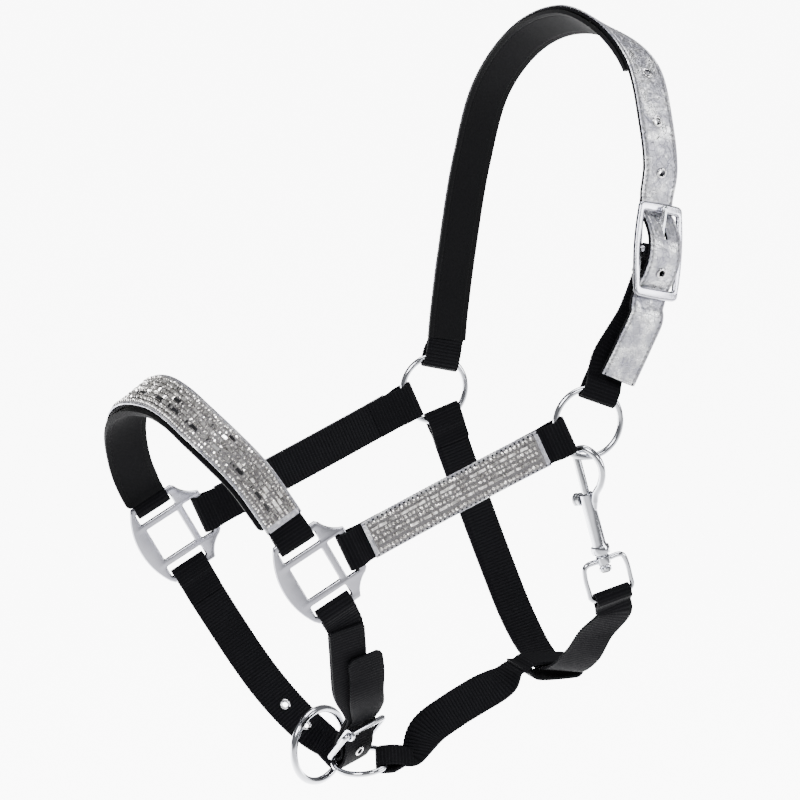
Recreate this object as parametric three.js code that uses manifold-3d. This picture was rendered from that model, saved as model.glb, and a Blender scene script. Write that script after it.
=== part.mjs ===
// Headcollar in 25 mm webbing with foil overlays, padded linings and cast fittings.
// Millimetres. +Z up, -X towards the nose, -Y the horse's near (left) side.
// Origin: underside of the crownpiece, at its highest point.
import * as THREE from 'three';
import * as BufferGeometryUtils from 'three/addons/utils/BufferGeometryUtils.js';
import Module from 'manifold-3d';

const wasm = await Module();
wasm.setup();

// ---------- driving dimensions ----------
const WEB_WIDTH = 25;
const WEB_THICK = 1.8;
const CLEAR = 0.35;             // air gap between neighbouring solids
const LAYER_GAP = 0.7;          // air gap between the layers of a strap that twists
const CROWN_OVERLAY_WIDTH = 25.6;
const CROWN_OVERLAY_THICK = 1.0;
const CROWN_LINING_WIDTH = 27;
const CROWN_LINING_THICK = 3.0;
const NOSE_OVERLAY_WIDTH = 27;
const NOSE_LINING_WIDTH = 29;
const NOSE_LINING_SHIFT = 2;     // the lining sits lower than the webbing
const NOSE_LINING_THICK = 4.4;
const CHEEK_OVERLAY_WIDTH = 26;
const OVERLAY_THICK = 1.2;
const CRYSTAL_THICK = 1.4;
const CRYSTAL_BORDER = 2;       // bare foil left beside the crystals
const RING_RADIUS = 22.9;       // to the middle of the wire
const RING_WIRE = 2.1;          // wire radius
const LEAD_RING_RADIUS = 25;
const LEAD_RING_WIRE = 2.6;
const LINK_RING_RADIUS = 19;
const LINK_RING_WIRE = 2.0;
const SQUARE_THICK = 3.6;       // plate of the cast halter squares
const SQUARE_OPENING = 12.3;    // half of the square opening
const SQUARE_INNER_BAR = 17.2;  // outer edge of the four inner bars
const SQUARE_SLOT_OUT = 25.6;   // outer edge of a strap slot
const SQUARE_EDGE = 30;         // outer edge of the outer bars
const SQUARE_SLOT_HALF = 13.8;
const BUCKLE_HALF_LENGTH = 31.5;
const BUCKLE_HALF_WIDTH = 18;
const BUCKLE_BAR = 6.5;           // width of the buckle's top and bottom bars
const BUCKLE_SIDE = 4;
const BUCKLE_THICK = 3.6;
const CENTRE_BAR_RADIUS = 1.8;
const CHIN_WIRE = 1.8;
const CHIN_HALF_WIDTH = 18.5;   // buckle half width to the middle of the wire
const CHIN_LENGTH = 28;
const BARREL_RADIUS = 4.7;
const BARREL_BORE = 3.3;
const BOLT_RADIUS = 2.7;
const EYELET_RADIUS = 3.6;
const EYELET_HOLE = 1.7;
const EYELET_TUBE = 2.5;
const PUNCH_RADIUS = 2.8;

const UP = new THREE.Vector3(0, 0, 1);
const vec = (x, y, z) => new THREE.Vector3(x, y, z);
const at = (origin, ...terms) => {
  const point = origin.clone();
  for (let k = 0; k < terms.length; k += 2) point.addScaledVector(terms[k], terms[k + 1]);
  return point;
};

// ---------- finishes ----------
const finish = (color, roughness, metalness) =>
  new THREE.MeshStandardMaterial({ color, roughness, metalness });
const finishes = {
  webbing: () => finish(0x16161a, 0.85, 0),
  felt: () => finish(0x111114, 0.95, 0),
  foil: () => finish(0xc9cacf, 0.38, 0.7),
  crystal: () => finish(0xdedede, 0.15, 0.2),
  chrome: () => finish(0xd6d8dc, 0.12, 1),
  steel: () => finish(0xb4b6ba, 0.25, 1),
};

// The strap points are set from the webbing's middle at the poll; the origin is the lining's underside.
const POLL_DROP = 5;
const group = new THREE.Group();
group.position.z = POLL_DROP;
function addPart(name, geometry, look) {
  const mesh = new THREE.Mesh(geometry, finishes[look]());
  mesh.name = name;
  group.add(mesh);
  return mesh;
}

// ---------- solids: cutting and joining ----------
function toSolid(geometry) {
  const plain = geometry.clone();
  plain.deleteAttribute('normal');
  plain.deleteAttribute('uv');
  const merged = BufferGeometryUtils.mergeVertices(plain, 1e-4);
  return new wasm.Manifold(new wasm.Mesh({
    numProp: 3,
    vertProperties: new Float32Array(merged.attributes.position.array),
    triVerts: new Uint32Array(merged.index.array),
  }));
}

function toGeometry(solid) {
  const mesh = solid.getMesh();
  const geometry = new THREE.BufferGeometry();
  geometry.setAttribute('position', new THREE.BufferAttribute(new Float32Array(mesh.vertProperties), 3));
  geometry.setIndex(new THREE.BufferAttribute(new Uint32Array(mesh.triVerts), 1));
  return geometry;
}

// A solid's geometry less each of the tools.
function cut(geometry, tools) {
  let solid = toSolid(geometry);
  for (const tool of tools) solid = solid.subtract(toSolid(tool));
  return toGeometry(solid);
}

function join(geometries) {
  return toGeometry(geometries.map(toSolid).reduce((all, next) => all.add(next)));
}

// Turns a geometry from its own x, y, z onto three axes and moves it to a point.
function place(geometry, origin, xAxis, yAxis, zAxis) {
  const matrix = new THREE.Matrix4().makeBasis(xAxis, yAxis, zAxis).setPosition(origin);
  return geometry.applyMatrix4(matrix);
}

// Three axes at right angles: the first as given, the second as near as it can be.
function axes(first, second) {
  const a = first.clone().normalize();
  const b = second.clone().addScaledVector(a, -second.dot(a)).normalize();
  return [a, b, new THREE.Vector3().crossVectors(a, b)];
}

// ---------- straps ----------
// A station is {p, w}: a point on the middle of the strap and its width direction.
// The path gives ExtrudeGeometry its own stations, so a strap is only as fine as its bends need.
class StrapPath extends THREE.CatmullRomCurve3 {
  constructor(stations, offset) {
    super(stations.map((s) => s.p));
    this.stations = stations;
    this.frames = this.makeFrames();
    this.offset = offset;
  }

  makeFrames() {
    const { stations } = this;
    const tangents = stations.map((s, k) => {
      const before = stations[Math.max(k - 1, 0)].p;
      const after = stations[Math.min(k + 1, stations.length - 1)].p;
      return after.clone().sub(before).normalize();
    });
    const normals = stations.map((s) => s.w.clone());
    const binormals = stations.map((s, k) => new THREE.Vector3().crossVectors(tangents[k], s.w).normalize());
    return { tangents, normals, binormals };
  }

  computeFrenetFrames() {
    return this.frames;
  }

  getSpacedPoints() {
    return this.stations.map((s, k) => at(s.p, this.frames.binormals[k], this.offset));
  }
}

function strap(stations, width, thick, offset = 0) {
  const section = new THREE.Shape([
    new THREE.Vector2(-width / 2, -thick / 2), new THREE.Vector2(0, -thick / 2),
    new THREE.Vector2(width / 2, -thick / 2), new THREE.Vector2(width / 2, thick / 2),
    new THREE.Vector2(0, thick / 2), new THREE.Vector2(-width / 2, thick / 2),
  ]);
  const extrudePath = new StrapPath(stations, offset);
  return new THREE.ExtrudeGeometry(section, { steps: stations.length - 1, bevelEnabled: false, extrudePath });
}

// Smooth stations through hand-set points [x, y, z, width x, y, z], a few to each span.
function run(points, perSpan) {
  const curve = new THREE.CatmullRomCurve3(points.map((q) => vec(q[0], q[1], q[2])), false, 'centripetal');
  const widths = points.map((q) => vec(q[3], q[4], q[5]).normalize());
  const stations = [];
  const spans = points.length - 1;
  for (let k = 0; k <= spans * perSpan; k += 1) {
    const t = k / (spans * perSpan);
    const span = Math.min(Math.floor(t * spans), spans - 1);
    const w = widths[span].clone().lerp(widths[span + 1], t * spans - span);
    const along = curve.getTangent(t);
    w.addScaledVector(along, -w.dot(along)).normalize();
    stations.push({ p: curve.getPoint(t), w });
  }
  return stations;
}

// A strap end wrapped round a bar at `bar` and folded back behind itself.
// `away` runs from the bar along the strap, `out` is the strap's outer side,
// `reach` is the straight part that a curved bar needs, `fold` the length folded back.
function wrap(bar, away, out, width, radius, { reach = 0, fold = 26, neck = 9, turns = 6 } = {}) {
  const behind = -(WEB_THICK + CLEAR);
  const stations = [
    { p: at(bar, away, fold, out, behind), w: width },
    { p: at(bar, away, neck, out, behind), w: width },
    { p: at(bar, away, neck * 0.6, out, -radius * 0.9), w: width },
    { p: at(bar, away, 2.4, out, -radius), w: width },
  ];
  for (let k = 0; k <= turns; k += 1) {
    const angle = Math.PI * (k / turns - 0.5);
    const back = -reach - radius * Math.cos(angle);
    stations.push({ p: at(bar, away, back, out, radius * Math.sin(angle)), w: width });
  }
  stations.push({ p: at(bar, away, 2.4, out, radius), w: width });
  stations.push({ p: at(bar, away, neck * 0.6, out, radius * 0.55), w: width });
  stations.push({ p: at(bar, away, neck, out, 0), w: width });
  return stations;
}

const reversed = (stations) => stations.slice().reverse();
const wrapRadius = (wire) => wire + CLEAR + WEB_THICK / 2;
const RING_REACH = 4.6;          // a ring's wire falls back this far at the strap's edges

// ---------- rings ----------
// Round ring with an eight-sided wire that has flats square to the ring's axis.
function ring(radius, wire, centre, normal) {
  const sides = 8;
  const profile = [];
  for (let k = 0; k <= sides; k += 1) {
    const angle = (k + 0.5) * (2 * Math.PI / sides);
    profile.push(new THREE.Vector2(radius + wire * Math.cos(angle), wire * Math.sin(angle)));
  }
  const geometry = new THREE.LatheGeometry(profile, 36);
  const [yAxis, xAxis, zAxis] = axes(normal, UP);
  return place(geometry, centre, xAxis, yAxis, zAxis.negate());
}

const NEAR_RING = vec(-19, -80, -258);
const FAR_RING = vec(-73, 76, -258);
const SIDE_AXIS = vec(0, -1, 0);
addPart('near_cheek_ring', ring(RING_RADIUS, RING_WIRE, NEAR_RING, SIDE_AXIS), 'chrome');
addPart('far_cheek_ring', ring(RING_RADIUS, RING_WIRE, FAR_RING, SIDE_AXIS), 'chrome');

// ---------- halter squares ----------
// Cast plate: square opening, a strap slot on three sides and a wide bow on the front.
const SQUARE_SLOPE = THREE.MathUtils.degToRad(30);
const REAR = vec(Math.cos(SQUARE_SLOPE), 0, Math.sin(SQUARE_SLOPE));
const RISE = vec(-Math.sin(SQUARE_SLOPE), 0, Math.cos(SQUARE_SLOPE));
const NEAR_SQUARE = vec(-204, -72, -348);
const FAR_SQUARE = vec(-265, 66, -347);

function slotHole(x0, x1, y0, y1) {
  return new THREE.Path([
    new THREE.Vector2(x0, y0), new THREE.Vector2(x0, y1),
    new THREE.Vector2(x1, y1), new THREE.Vector2(x1, y0),
  ]);
}

function halterSquare(centre) {
  const tip = SQUARE_EDGE + 1.5;
  const outline = new THREE.Shape();
  outline.moveTo(-15, SQUARE_EDGE);
  outline.quadraticCurveTo(-24, 14, -24, 0);
  outline.quadraticCurveTo(-24, -14, -15, -SQUARE_EDGE);
  outline.lineTo(18.5, -SQUARE_EDGE);
  outline.quadraticCurveTo(23, -20, tip, -15.5);
  outline.lineTo(tip, 15.5);
  outline.quadraticCurveTo(23, 20, 18.5, SQUARE_EDGE);
  outline.closePath();
  const half = SQUARE_SLOT_HALF;
  outline.holes.push(slotHole(-SQUARE_OPENING, SQUARE_OPENING, -SQUARE_OPENING, SQUARE_OPENING));
  outline.holes.push(slotHole(-half, half, SQUARE_INNER_BAR, SQUARE_SLOT_OUT));
  outline.holes.push(slotHole(-half, half, -SQUARE_SLOT_OUT, -SQUARE_INNER_BAR));
  outline.holes.push(slotHole(SQUARE_INNER_BAR, SQUARE_SLOT_OUT + 0.8, -half, half));
  const geometry = new THREE.ExtrudeGeometry(outline, {
    depth: SQUARE_THICK - 1.2, bevelThickness: 0.6, bevelSize: 0.6, bevelOffset: -0.6,
    bevelSegments: 1, curveSegments: 7,
  });
  geometry.translate(0, 0, -SQUARE_THICK / 2 + 0.6);
  return place(geometry, centre, REAR, RISE, vec(0, -1, 0));
}

addPart('near_halter_square', halterSquare(NEAR_SQUARE), 'chrome');
addPart('far_halter_square', halterSquare(FAR_SQUARE), 'chrome');

const OUTER_BAR = (SQUARE_SLOT_OUT + SQUARE_EDGE) / 2;
const squareWrap = SQUARE_THICK / 2 + 2 * CLEAR + WEB_THICK / 2;
const SQUARE_REACH = 2;

// ---------- cheekpieces ----------
// From a halter square's rear slot up to the cheek ring, with a crystal overlay on the outside.
function cheekpiece(side, squareCentre, ringCentre, out) {
  const start = at(squareCentre, REAR, OUTER_BAR + 0.9);
  const inRingPlane = ringCentre.clone().sub(start).setY(0).normalize();
  const end = at(ringCentre, inRingPlane, -RING_RADIUS);
  const away = end.clone().sub(start).normalize();
  const width = new THREE.Vector3().crossVectors(away, out).normalize();
  const face = new THREE.Vector3().crossVectors(width, away).normalize();
  const outward = face.dot(out) > 0 ? face : face.clone().negate();
  const first = wrap(start, away, outward, width, squareWrap, { reach: SQUARE_REACH });
  const last = reversed(
    wrap(end, away.clone().negate(), outward, width, wrapRadius(RING_WIRE), { reach: RING_REACH }));
  const webbing = strap([...first, ...last], WEB_WIDTH, WEB_THICK);
  addPart(`${side}_cheek_webbing`, webbing, 'webbing');
  const length = end.distanceTo(start);
  const layer = (from, to, height, thick, wide) => {
    const box = new THREE.BoxGeometry(to - from, wide, thick);
    return place(box, at(start, away, (from + to) / 2, outward, height), away, width,
      new THREE.Vector3().crossVectors(away, width));
  };
  const overlayHeight = WEB_THICK / 2 + CLEAR + OVERLAY_THICK / 2;
  const overlayEnd = length - 11;
  addPart(`${side}_cheek_overlay`,
    layer(12, overlayEnd, overlayHeight, OVERLAY_THICK, CHEEK_OVERLAY_WIDTH), 'foil');
  const crystalHeight = overlayHeight + OVERLAY_THICK / 2 + CLEAR + CRYSTAL_THICK / 2;
  const crystalWidth = CHEEK_OVERLAY_WIDTH - 2 * CRYSTAL_BORDER;
  addPart(`${side}_cheek_crystal_strip`,
    layer(15, overlayEnd - 3, crystalHeight, CRYSTAL_THICK, crystalWidth), 'crystal');
}

cheekpiece('near', NEAR_SQUARE, NEAR_RING, vec(0, -1, 0));
cheekpiece('far', FAR_SQUARE, FAR_RING, vec(0, 1, 0));

// ---------- noseband ----------
// Over the nose from the near square's top slot to the far square's.
const nearNoseBar = at(NEAR_SQUARE, RISE, OUTER_BAR);
const farNoseBar = at(FAR_SQUARE, RISE, OUTER_BAR);
const NOSE_POINTS = [
  [-224, -72.5, -313, 0.87, 0, 0.5],
  [-246, -71, -281, 0.76, 0.02, 0.65],
  [-261, -65, -264, 0.74, 0.1, 0.66],
  [-274, -50, -250, 0.73, 0.1, 0.67],
  [-283, -30, -240, 0.73, 0.05, 0.68],
  [-290, -8, -236, 0.74, 0, 0.67],
  [-297, 14, -239, 0.78, -0.05, 0.62],
  [-300, 34, -250, 0.83, -0.1, 0.54],
  [-299, 49, -268, 0.9, -0.1, 0.42],
  [-292, 60, -296, 0.95, -0.05, 0.3],
  [-285, 65.5, -312, 0.9, 0, 0.43],
];
const noseRun = run(NOSE_POINTS, 5);
const nearOut = vec(0, -1, 0);
const farOut = vec(0, 1, 0);
const nearNoseWrap = wrap(nearNoseBar, RISE, nearOut, REAR, squareWrap, { reach: SQUARE_REACH, fold: 14 });
const farNoseWrap = reversed(
  wrap(farNoseBar, RISE, farOut, REAR, squareWrap, { reach: SQUARE_REACH, fold: 10, neck: 8 }));
addPart('noseband_webbing', strap([...nearNoseWrap, ...noseRun.slice(1, -1), ...farNoseWrap],
  WEB_WIDTH, WEB_THICK), 'webbing');
// The lining runs on over the folded end, close up to the far square, and shows below the strap.
const noseLiningRun = [
  ...noseRun.slice(1, -1),
  { p: at(farNoseBar, RISE, 11, farOut, -2), w: REAR },
  { p: at(farNoseBar, RISE, 4, farOut, -3.3), w: REAR },
].map(({ p, w }) => ({ p: at(p, w, -NOSE_LINING_SHIFT), w }));
const noseLiningOffset = WEB_THICK / 2 + LAYER_GAP + NOSE_LINING_THICK / 2;
const noseOverlayOffset = WEB_THICK / 2 + LAYER_GAP + OVERLAY_THICK / 2;
const noseCrystalOffset = noseOverlayOffset + OVERLAY_THICK / 2 + LAYER_GAP + CRYSTAL_THICK / 2;
addPart('noseband_lining',
  strap(noseLiningRun, NOSE_LINING_WIDTH, NOSE_LINING_THICK, noseLiningOffset), 'felt');
addPart('noseband_overlay', strap(noseRun, NOSE_OVERLAY_WIDTH, OVERLAY_THICK, -noseOverlayOffset), 'foil');
addPart('noseband_crystal_strip', strap(noseRun.slice(1, -1), NOSE_OVERLAY_WIDTH - 2 * CRYSTAL_BORDER,
  CRYSTAL_THICK, -noseCrystalOffset), 'crystal');

// ---------- crown buckle ----------
// Cast frame with a centre bar. Its own axes: BUCKLE_W across, BUCKLE_N out, BUCKLE_A up the strap.
const BUCKLE = vec(27, -84, -146);
const [BUCKLE_A, BUCKLE_W] = axes(vec(0.15, 0.25, 0.955), vec(0.93, 0.24, -0.25));
const BUCKLE_N = new THREE.Vector3().crossVectors(BUCKLE_W, BUCKLE_A);
const inBuckle = (along, out) => at(BUCKLE, BUCKLE_A, along, BUCKLE_N, out);

function roundedRect(halfX, halfY, radius, shape) {
  shape.moveTo(halfX, halfY - radius);
  shape.absarc(halfX - radius, halfY - radius, radius, 0, Math.PI / 2);
  shape.absarc(radius - halfX, halfY - radius, radius, Math.PI / 2, Math.PI);
  shape.absarc(radius - halfX, radius - halfY, radius, Math.PI, 1.5 * Math.PI);
  shape.absarc(halfX - radius, radius - halfY, radius, 1.5 * Math.PI, 2 * Math.PI);
  return shape;
}

function buckleFrame() {
  const outline = roundedRect(BUCKLE_HALF_WIDTH, BUCKLE_HALF_LENGTH, 4, new THREE.Shape());
  outline.holes.push(roundedRect(BUCKLE_HALF_WIDTH - BUCKLE_SIDE, BUCKLE_HALF_LENGTH - BUCKLE_BAR, 1.5,
    new THREE.Path()));
  const plate = new THREE.ExtrudeGeometry(outline, { depth: BUCKLE_THICK, bevelEnabled: false, curveSegments: 4 });
  plate.translate(0, 0, -BUCKLE_THICK / 2);
  const barLength = 2 * BUCKLE_HALF_WIDTH - 3;
  const bar = new THREE.CylinderGeometry(CENTRE_BAR_RADIUS, CENTRE_BAR_RADIUS, barLength, 12);
  bar.rotateZ(Math.PI / 2);
  return place(join([plate, bar]), BUCKLE, BUCKLE_W, BUCKLE_A, BUCKLE_N.clone());
}
addPart('crown_buckle_frame', buckleFrame(), 'chrome');

// Tongue: an eye round the centre bar, a bar under the strap, and a tip on the frame's top bar.
const TONGUE_WIDTH = 4.2;
function buckleTongue() {
  const eyeOut = CENTRE_BAR_RADIUS + CLEAR + 1.4;
  const eye = new THREE.Shape().absarc(0, 0, eyeOut, 0, 2 * Math.PI);
  eye.holes.push(new THREE.Path().absarc(0, 0, CENTRE_BAR_RADIUS + CLEAR, 0, 2 * Math.PI));
  const across = { depth: TONGUE_WIDTH, bevelEnabled: false, curveSegments: 8 };
  const eyeSolid = new THREE.ExtrudeGeometry(eye, across);
  const blade = new THREE.Shape([
    new THREE.Vector2(2.6, 0.6), new THREE.Vector2(BUCKLE_HALF_LENGTH - 1.5, BUCKLE_THICK / 2 + CLEAR),
    new THREE.Vector2(BUCKLE_HALF_LENGTH - 1.5, BUCKLE_THICK / 2 + CLEAR + 1.8),
    new THREE.Vector2(22, 4.6), new THREE.Vector2(1.5, 3),
  ]);
  const bladeSolid = new THREE.ExtrudeGeometry(blade, across);
  const tongue = join([eyeSolid, bladeSolid]);
  tongue.translate(0, 0, -TONGUE_WIDTH / 2);
  return place(tongue, BUCKLE, BUCKLE_A, BUCKLE_N, new THREE.Vector3().crossVectors(BUCKLE_A, BUCKLE_N));
}
addPart('crown_buckle_tongue', buckleTongue(), 'chrome');

// ---------- crownpiece ----------
// Lining, webbing core and foil overlay, from the far ring over the poll and down through the buckle.
const crownAway = vec(0.22, 0, 0.975).normalize();
const crownBar = at(FAR_RING, crownAway, RING_RADIUS);
const crownWidth = new THREE.Vector3().crossVectors(crownAway, farOut).normalize();
const crownWrap = wrap(
  crownBar, crownAway, farOut, crownWidth, wrapRadius(RING_WIRE), { reach: RING_REACH, fold: 16 });
const sameSide = crownWidth.x > 0 ? 1 : -1;
const CROWN_POINTS = [
  [-65.5, 76.3, -226, 0.98, 0, -0.2],
  [-63, 77, -205, 0.98, 0.02, -0.16],
  [-57, 78, -162, 0.99, 0.03, -0.14],
  [-47, 76, -99, 0.98, 0, -0.17],
  [-36, 65, -47, 0.95, 0.05, -0.3],
  [-19, 38, -12, 0.88, 0, -0.45],
  [-2, 0, 1.5, 0.85, 0, -0.5],
  [14, -32, -7, 0.87, 0, -0.45],
  [25, -58, -28, 0.93, 0.1, -0.3],
  [29, -72, -64, 0.96, 0.15, -0.2],
  [31, -75.5, -92, 0.94, 0.2, -0.22],
];
const buckleStation = (along, out, aside = 0) =>
  ({ p: at(inBuckle(along, out), BUCKLE_W, aside), w: BUCKLE_W });
const UNDER_BAR = -(BUCKLE_THICK / 2 + LAYER_GAP + 3.2);
const OVER_CENTRE = 6.4;
const buckleRun = [
  buckleStation(37, UNDER_BAR + 0.6), buckleStation(31, UNDER_BAR), buckleStation(25, UNDER_BAR + 0.5),
  buckleStation(19, -0.6), buckleStation(13, 3.2), buckleStation(7, 5.6), buckleStation(0, OVER_CENTRE),
  buckleStation(-7, 5.6), buckleStation(-13, 3.2),
  buckleStation(-19, -0.6), buckleStation(-25, UNDER_BAR + 0.5),
  buckleStation(-31, UNDER_BAR, -1.5), buckleStation(-37, UNDER_BAR + 0.6, -3.5),
];
const TAIL_POINTS = [
  [16, -91.5, -187, 0.94, 0.12, -0.31],
  [9, -90, -204, 0.93, 0.08, -0.34],
  [-2, -87, -229, 0.92, 0.04, -0.37],
];
const crownRun = [...run(CROWN_POINTS, 4), ...buckleRun, ...run(TAIL_POINTS, 3)];
const crownStart = crownWrap.map((s) => ({ p: s.p, w: s.w.clone().multiplyScalar(sameSide) }));
const crownPath = [...crownStart.slice(0, -1), ...crownRun];
// Going up the far side with the width towards +X, the strap's outer side is on its positive face.
const CORE = WEB_THICK;
const overlayStep = CORE / 2 + LAYER_GAP + CROWN_OVERLAY_THICK / 2;
const liningStep = -(CORE / 2 + LAYER_GAP + CROWN_LINING_THICK / 2);
const overlayPath = crownPath.slice(crownStart.length + 1);
const liningPath = crownPath.slice(crownStart.length + 1, crownStart.length + 33);

// Holes through the crown: stations along the near leg, the buckle window and the tongue.
function holeAt(station, face, radius = PUNCH_RADIUS, stretch = 1) {
  const tool = new THREE.CylinderGeometry(radius, radius, 16, 14);
  tool.rotateX(Math.PI / 2);
  tool.scale(1, stretch, 1);
  const [zAxis, xAxis, yAxis] = axes(face, station.w);
  return place(tool, station.p, xAxis, yAxis, zAxis);
}
function faceOf(stations, k) {
  const along = stations[k + 1].p.clone().sub(stations[k - 1].p).normalize();
  return new THREE.Vector3().crossVectors(along, stations[k].w).normalize();
}
// The station nearest to a distance along the path, slid to it exactly.
function stationAt(stations, distance) {
  let gone = 0;
  for (let k = 1; k < stations.length - 1; k += 1) {
    const step = stations[k].p.distanceTo(stations[k - 1].p);
    if (gone + step >= distance) {
      const share = (distance - gone) / step;
      const p = stations[k - 1].p.clone().lerp(stations[k].p, share);
      const w = stations[k - 1].w.clone().lerp(stations[k].w, share).normalize();
      const along = stations[k].p.clone().sub(stations[k - 1].p).normalize();
      return { p, w, face: new THREE.Vector3().crossVectors(along, w).normalize() };
    }
    gone += step;
  }
  return null;
}
const lengthOf = (stations) =>
  stations.slice(1).reduce((sum, s, k) => sum + s.p.distanceTo(stations[k].p), 0);
const toBuckle = lengthOf([...run(CROWN_POINTS, 4), ...buckleRun.slice(0, 7)]);
const HOLE_STEP = 32;
const holeStations = [-5, -4, -3].map((k) => stationAt(crownRun, toBuckle + 24 + (k + 1) * HOLE_STEP - 18));
const tongueStation = stationAt(crownRun, toBuckle - 13);
holeStations.push(stationAt(crownRun, toBuckle + 14));

// An eyelet: flange on the strap's outer side and a tube through it.
function eyelet(station, outwards, topAt, tubeLength) {
  const rim = 0.7;
  const profile = [
    [EYELET_HOLE, topAt + rim], [EYELET_RADIUS, topAt + rim * 0.6], [EYELET_RADIUS, topAt + 0.15],
    [EYELET_TUBE, topAt + 0.15], [EYELET_TUBE, topAt - tubeLength], [EYELET_HOLE, topAt - tubeLength],
    [EYELET_HOLE, topAt + rim],
  ].map(([x, y]) => new THREE.Vector2(x, y)).reverse();
  const geometry = new THREE.LatheGeometry(profile, 16);
  const [yAxis, xAxis, zAxis] = axes(outwards, station.w);
  return place(geometry, station.p, xAxis, yAxis, zAxis.clone().negate());
}

const crownHoles = () => [
  ...holeStations.map((s) => holeAt(s, s.face)),
  holeAt(tongueStation, tongueStation.face, 2.8, 4.2),
];
addPart('crown_webbing', cut(strap(crownPath, WEB_WIDTH, CORE), crownHoles()), 'webbing');
addPart('crown_overlay', cut(strap(overlayPath, CROWN_OVERLAY_WIDTH, CROWN_OVERLAY_THICK, overlayStep),
  crownHoles()), 'foil');
addPart('crown_lining', strap(liningPath, CROWN_LINING_WIDTH, CROWN_LINING_THICK, liningStep), 'felt');
holeStations.forEach((station, k) => {
  const top = CORE / 2 + LAYER_GAP + CROWN_OVERLAY_THICK + CLEAR;
  addPart(`crown_eyelet_${k + 1}`, eyelet(station, station.face, top, 3), 'chrome');
});

// ---------- crown buckle strap ----------
// From the near ring up to the buckle's centre bar, cut out in the middle for the tongue.
const billetAway = vec(0.36, 0, 0.93).normalize();
const billetBar = at(NEAR_RING, billetAway, RING_RADIUS);
const billetWidth = new THREE.Vector3().crossVectors(nearOut, billetAway).normalize().negate();
const billetLow = wrap(billetBar, billetAway, nearOut, billetWidth, wrapRadius(RING_WIRE),
  { reach: RING_REACH, fold: 24 });
const billetDown = at(vec(0, 0, 0), BUCKLE_A, -0.88, BUCKLE_N, -0.475);
const billetBack = at(vec(0, 0, 0), BUCKLE_N, 0.88, BUCKLE_A, -0.475);
const billetTop = reversed(wrap(BUCKLE, billetDown, billetBack, BUCKLE_W,
  CENTRE_BAR_RADIUS + CLEAR + WEB_THICK / 2, { fold: 17, neck: 8 }));
const lowSide = Math.sign(billetWidth.dot(BUCKLE_W));
const billetPath = [
  ...billetLow.map((s) => ({ p: s.p, w: s.w.clone().multiplyScalar(lowSide) })),
  ...run([
    [-5, -80, -217, 0.94, 0.03, -0.33], [3, -79.5, -204, 0.94, 0.07, -0.3],
    [12, -80, -189, 0.94, 0.14, -0.28], [17, -80.5, -176, 0.93, 0.2, -0.27],
  ], 2),
  ...billetTop,
];
const tongueSlot = place(new THREE.BoxGeometry(TONGUE_WIDTH + 2, 12, 12), BUCKLE, BUCKLE_W, BUCKLE_A, BUCKLE_N);
addPart('crown_buckle_strap', cut(strap(billetPath, WEB_WIDTH, WEB_THICK), [tongueSlot]), 'webbing');

// ---------- chin ----------
// Chin buckle: a wire frame. CHIN_F runs along its bars, CHIN_M from the heel bar to the
// front bar, and CHIN_N out of the strap's outer side.
const [CHIN_F, CHIN_M, CHIN_N] = axes(vec(0.87, 0.44, 0.2), vec(0.12, -0.73, 0.666));
const HEEL = vec(-158, 4, -489);
const inChin = (m, n, f = 0) => at(HEEL, CHIN_M, m, CHIN_N, n, CHIN_F, f);

function chinFrame() {
  const outer = roundedRect(CHIN_HALF_WIDTH + CHIN_WIRE, CHIN_LENGTH / 2 + CHIN_WIRE, 4, new THREE.Shape());
  const inside = [CHIN_HALF_WIDTH - CHIN_WIRE, CHIN_LENGTH / 2 - CHIN_WIRE];
  outer.holes.push(roundedRect(...inside, 1.5, new THREE.Path()));
  const geometry = new THREE.ExtrudeGeometry(
    outer, { depth: 2 * CHIN_WIRE, bevelEnabled: false, curveSegments: 4 });
  geometry.translate(0, 0, -CHIN_WIRE);
  return place(geometry, inChin(CHIN_LENGTH / 2, 0), CHIN_F, CHIN_M, CHIN_N);
}
addPart('chin_buckle_frame', chinFrame(), 'chrome');

// Near chin strap: sewn round the square's bottom bar, down to the heel bar, and back up outside itself.
const nearChinBar = at(NEAR_SQUARE, RISE, -OUTER_BAR);
const nearChinWrap = wrap(nearChinBar, RISE.clone().negate(), nearOut, REAR, squareWrap,
  { reach: SQUARE_REACH, fold: 16 });
const LAYER = WEB_THICK + LAYER_GAP;
const HEEL_RADIUS = CHIN_WIRE * Math.SQRT2 + CLEAR + WEB_THICK / 2;
const nearChinDown = run([
  [-183, -70, -385, 0.95, 0.05, 0.3], [-179, -61, -405, 0.98, 0.1, 0.2], [-173, -46, -432, 0.97, 0.2, 0.2],
  [...inChin(38, -10, -2).toArray(), ...CHIN_F.toArray()],
  [...inChin(28, -9).toArray(), ...CHIN_F.toArray()],
  [...inChin(14, -7).toArray(), ...CHIN_F.toArray()],
  [...inChin(4, -HEEL_RADIUS).toArray(), ...CHIN_F.toArray()],
], 3);
const heelTurn = [];
for (let k = 0; k <= 6; k += 1) {
  const angle = Math.PI * (k / 6 - 0.5);
  const p = inChin(-HEEL_RADIUS * Math.cos(angle), HEEL_RADIUS * Math.sin(angle));
  heelTurn.push({ p, w: CHIN_F.clone() });
}
const outsideOf = (stations, step) => stations.slice(1, -1).map((s, k) => {
  const face = faceOf(stations, k + 1);
  const outward = face.y > 0 ? face.negate() : face;
  return { p: at(s.p, outward, step), w: s.w };
});
const nearChinUp = [
  { p: inChin(4, HEEL_RADIUS), w: CHIN_F.clone() },
  { p: inChin(12, -1.2), w: CHIN_F.clone() },
  ...reversed(outsideOf([nearChinWrap[nearChinWrap.length - 1], ...nearChinDown], LAYER)).slice(4),
];
const nearChinPath = [...nearChinWrap, ...nearChinDown, ...heelTurn, ...nearChinUp];
addPart('near_chin_strap', strap(nearChinPath, WEB_WIDTH, WEB_THICK), 'webbing');

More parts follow.
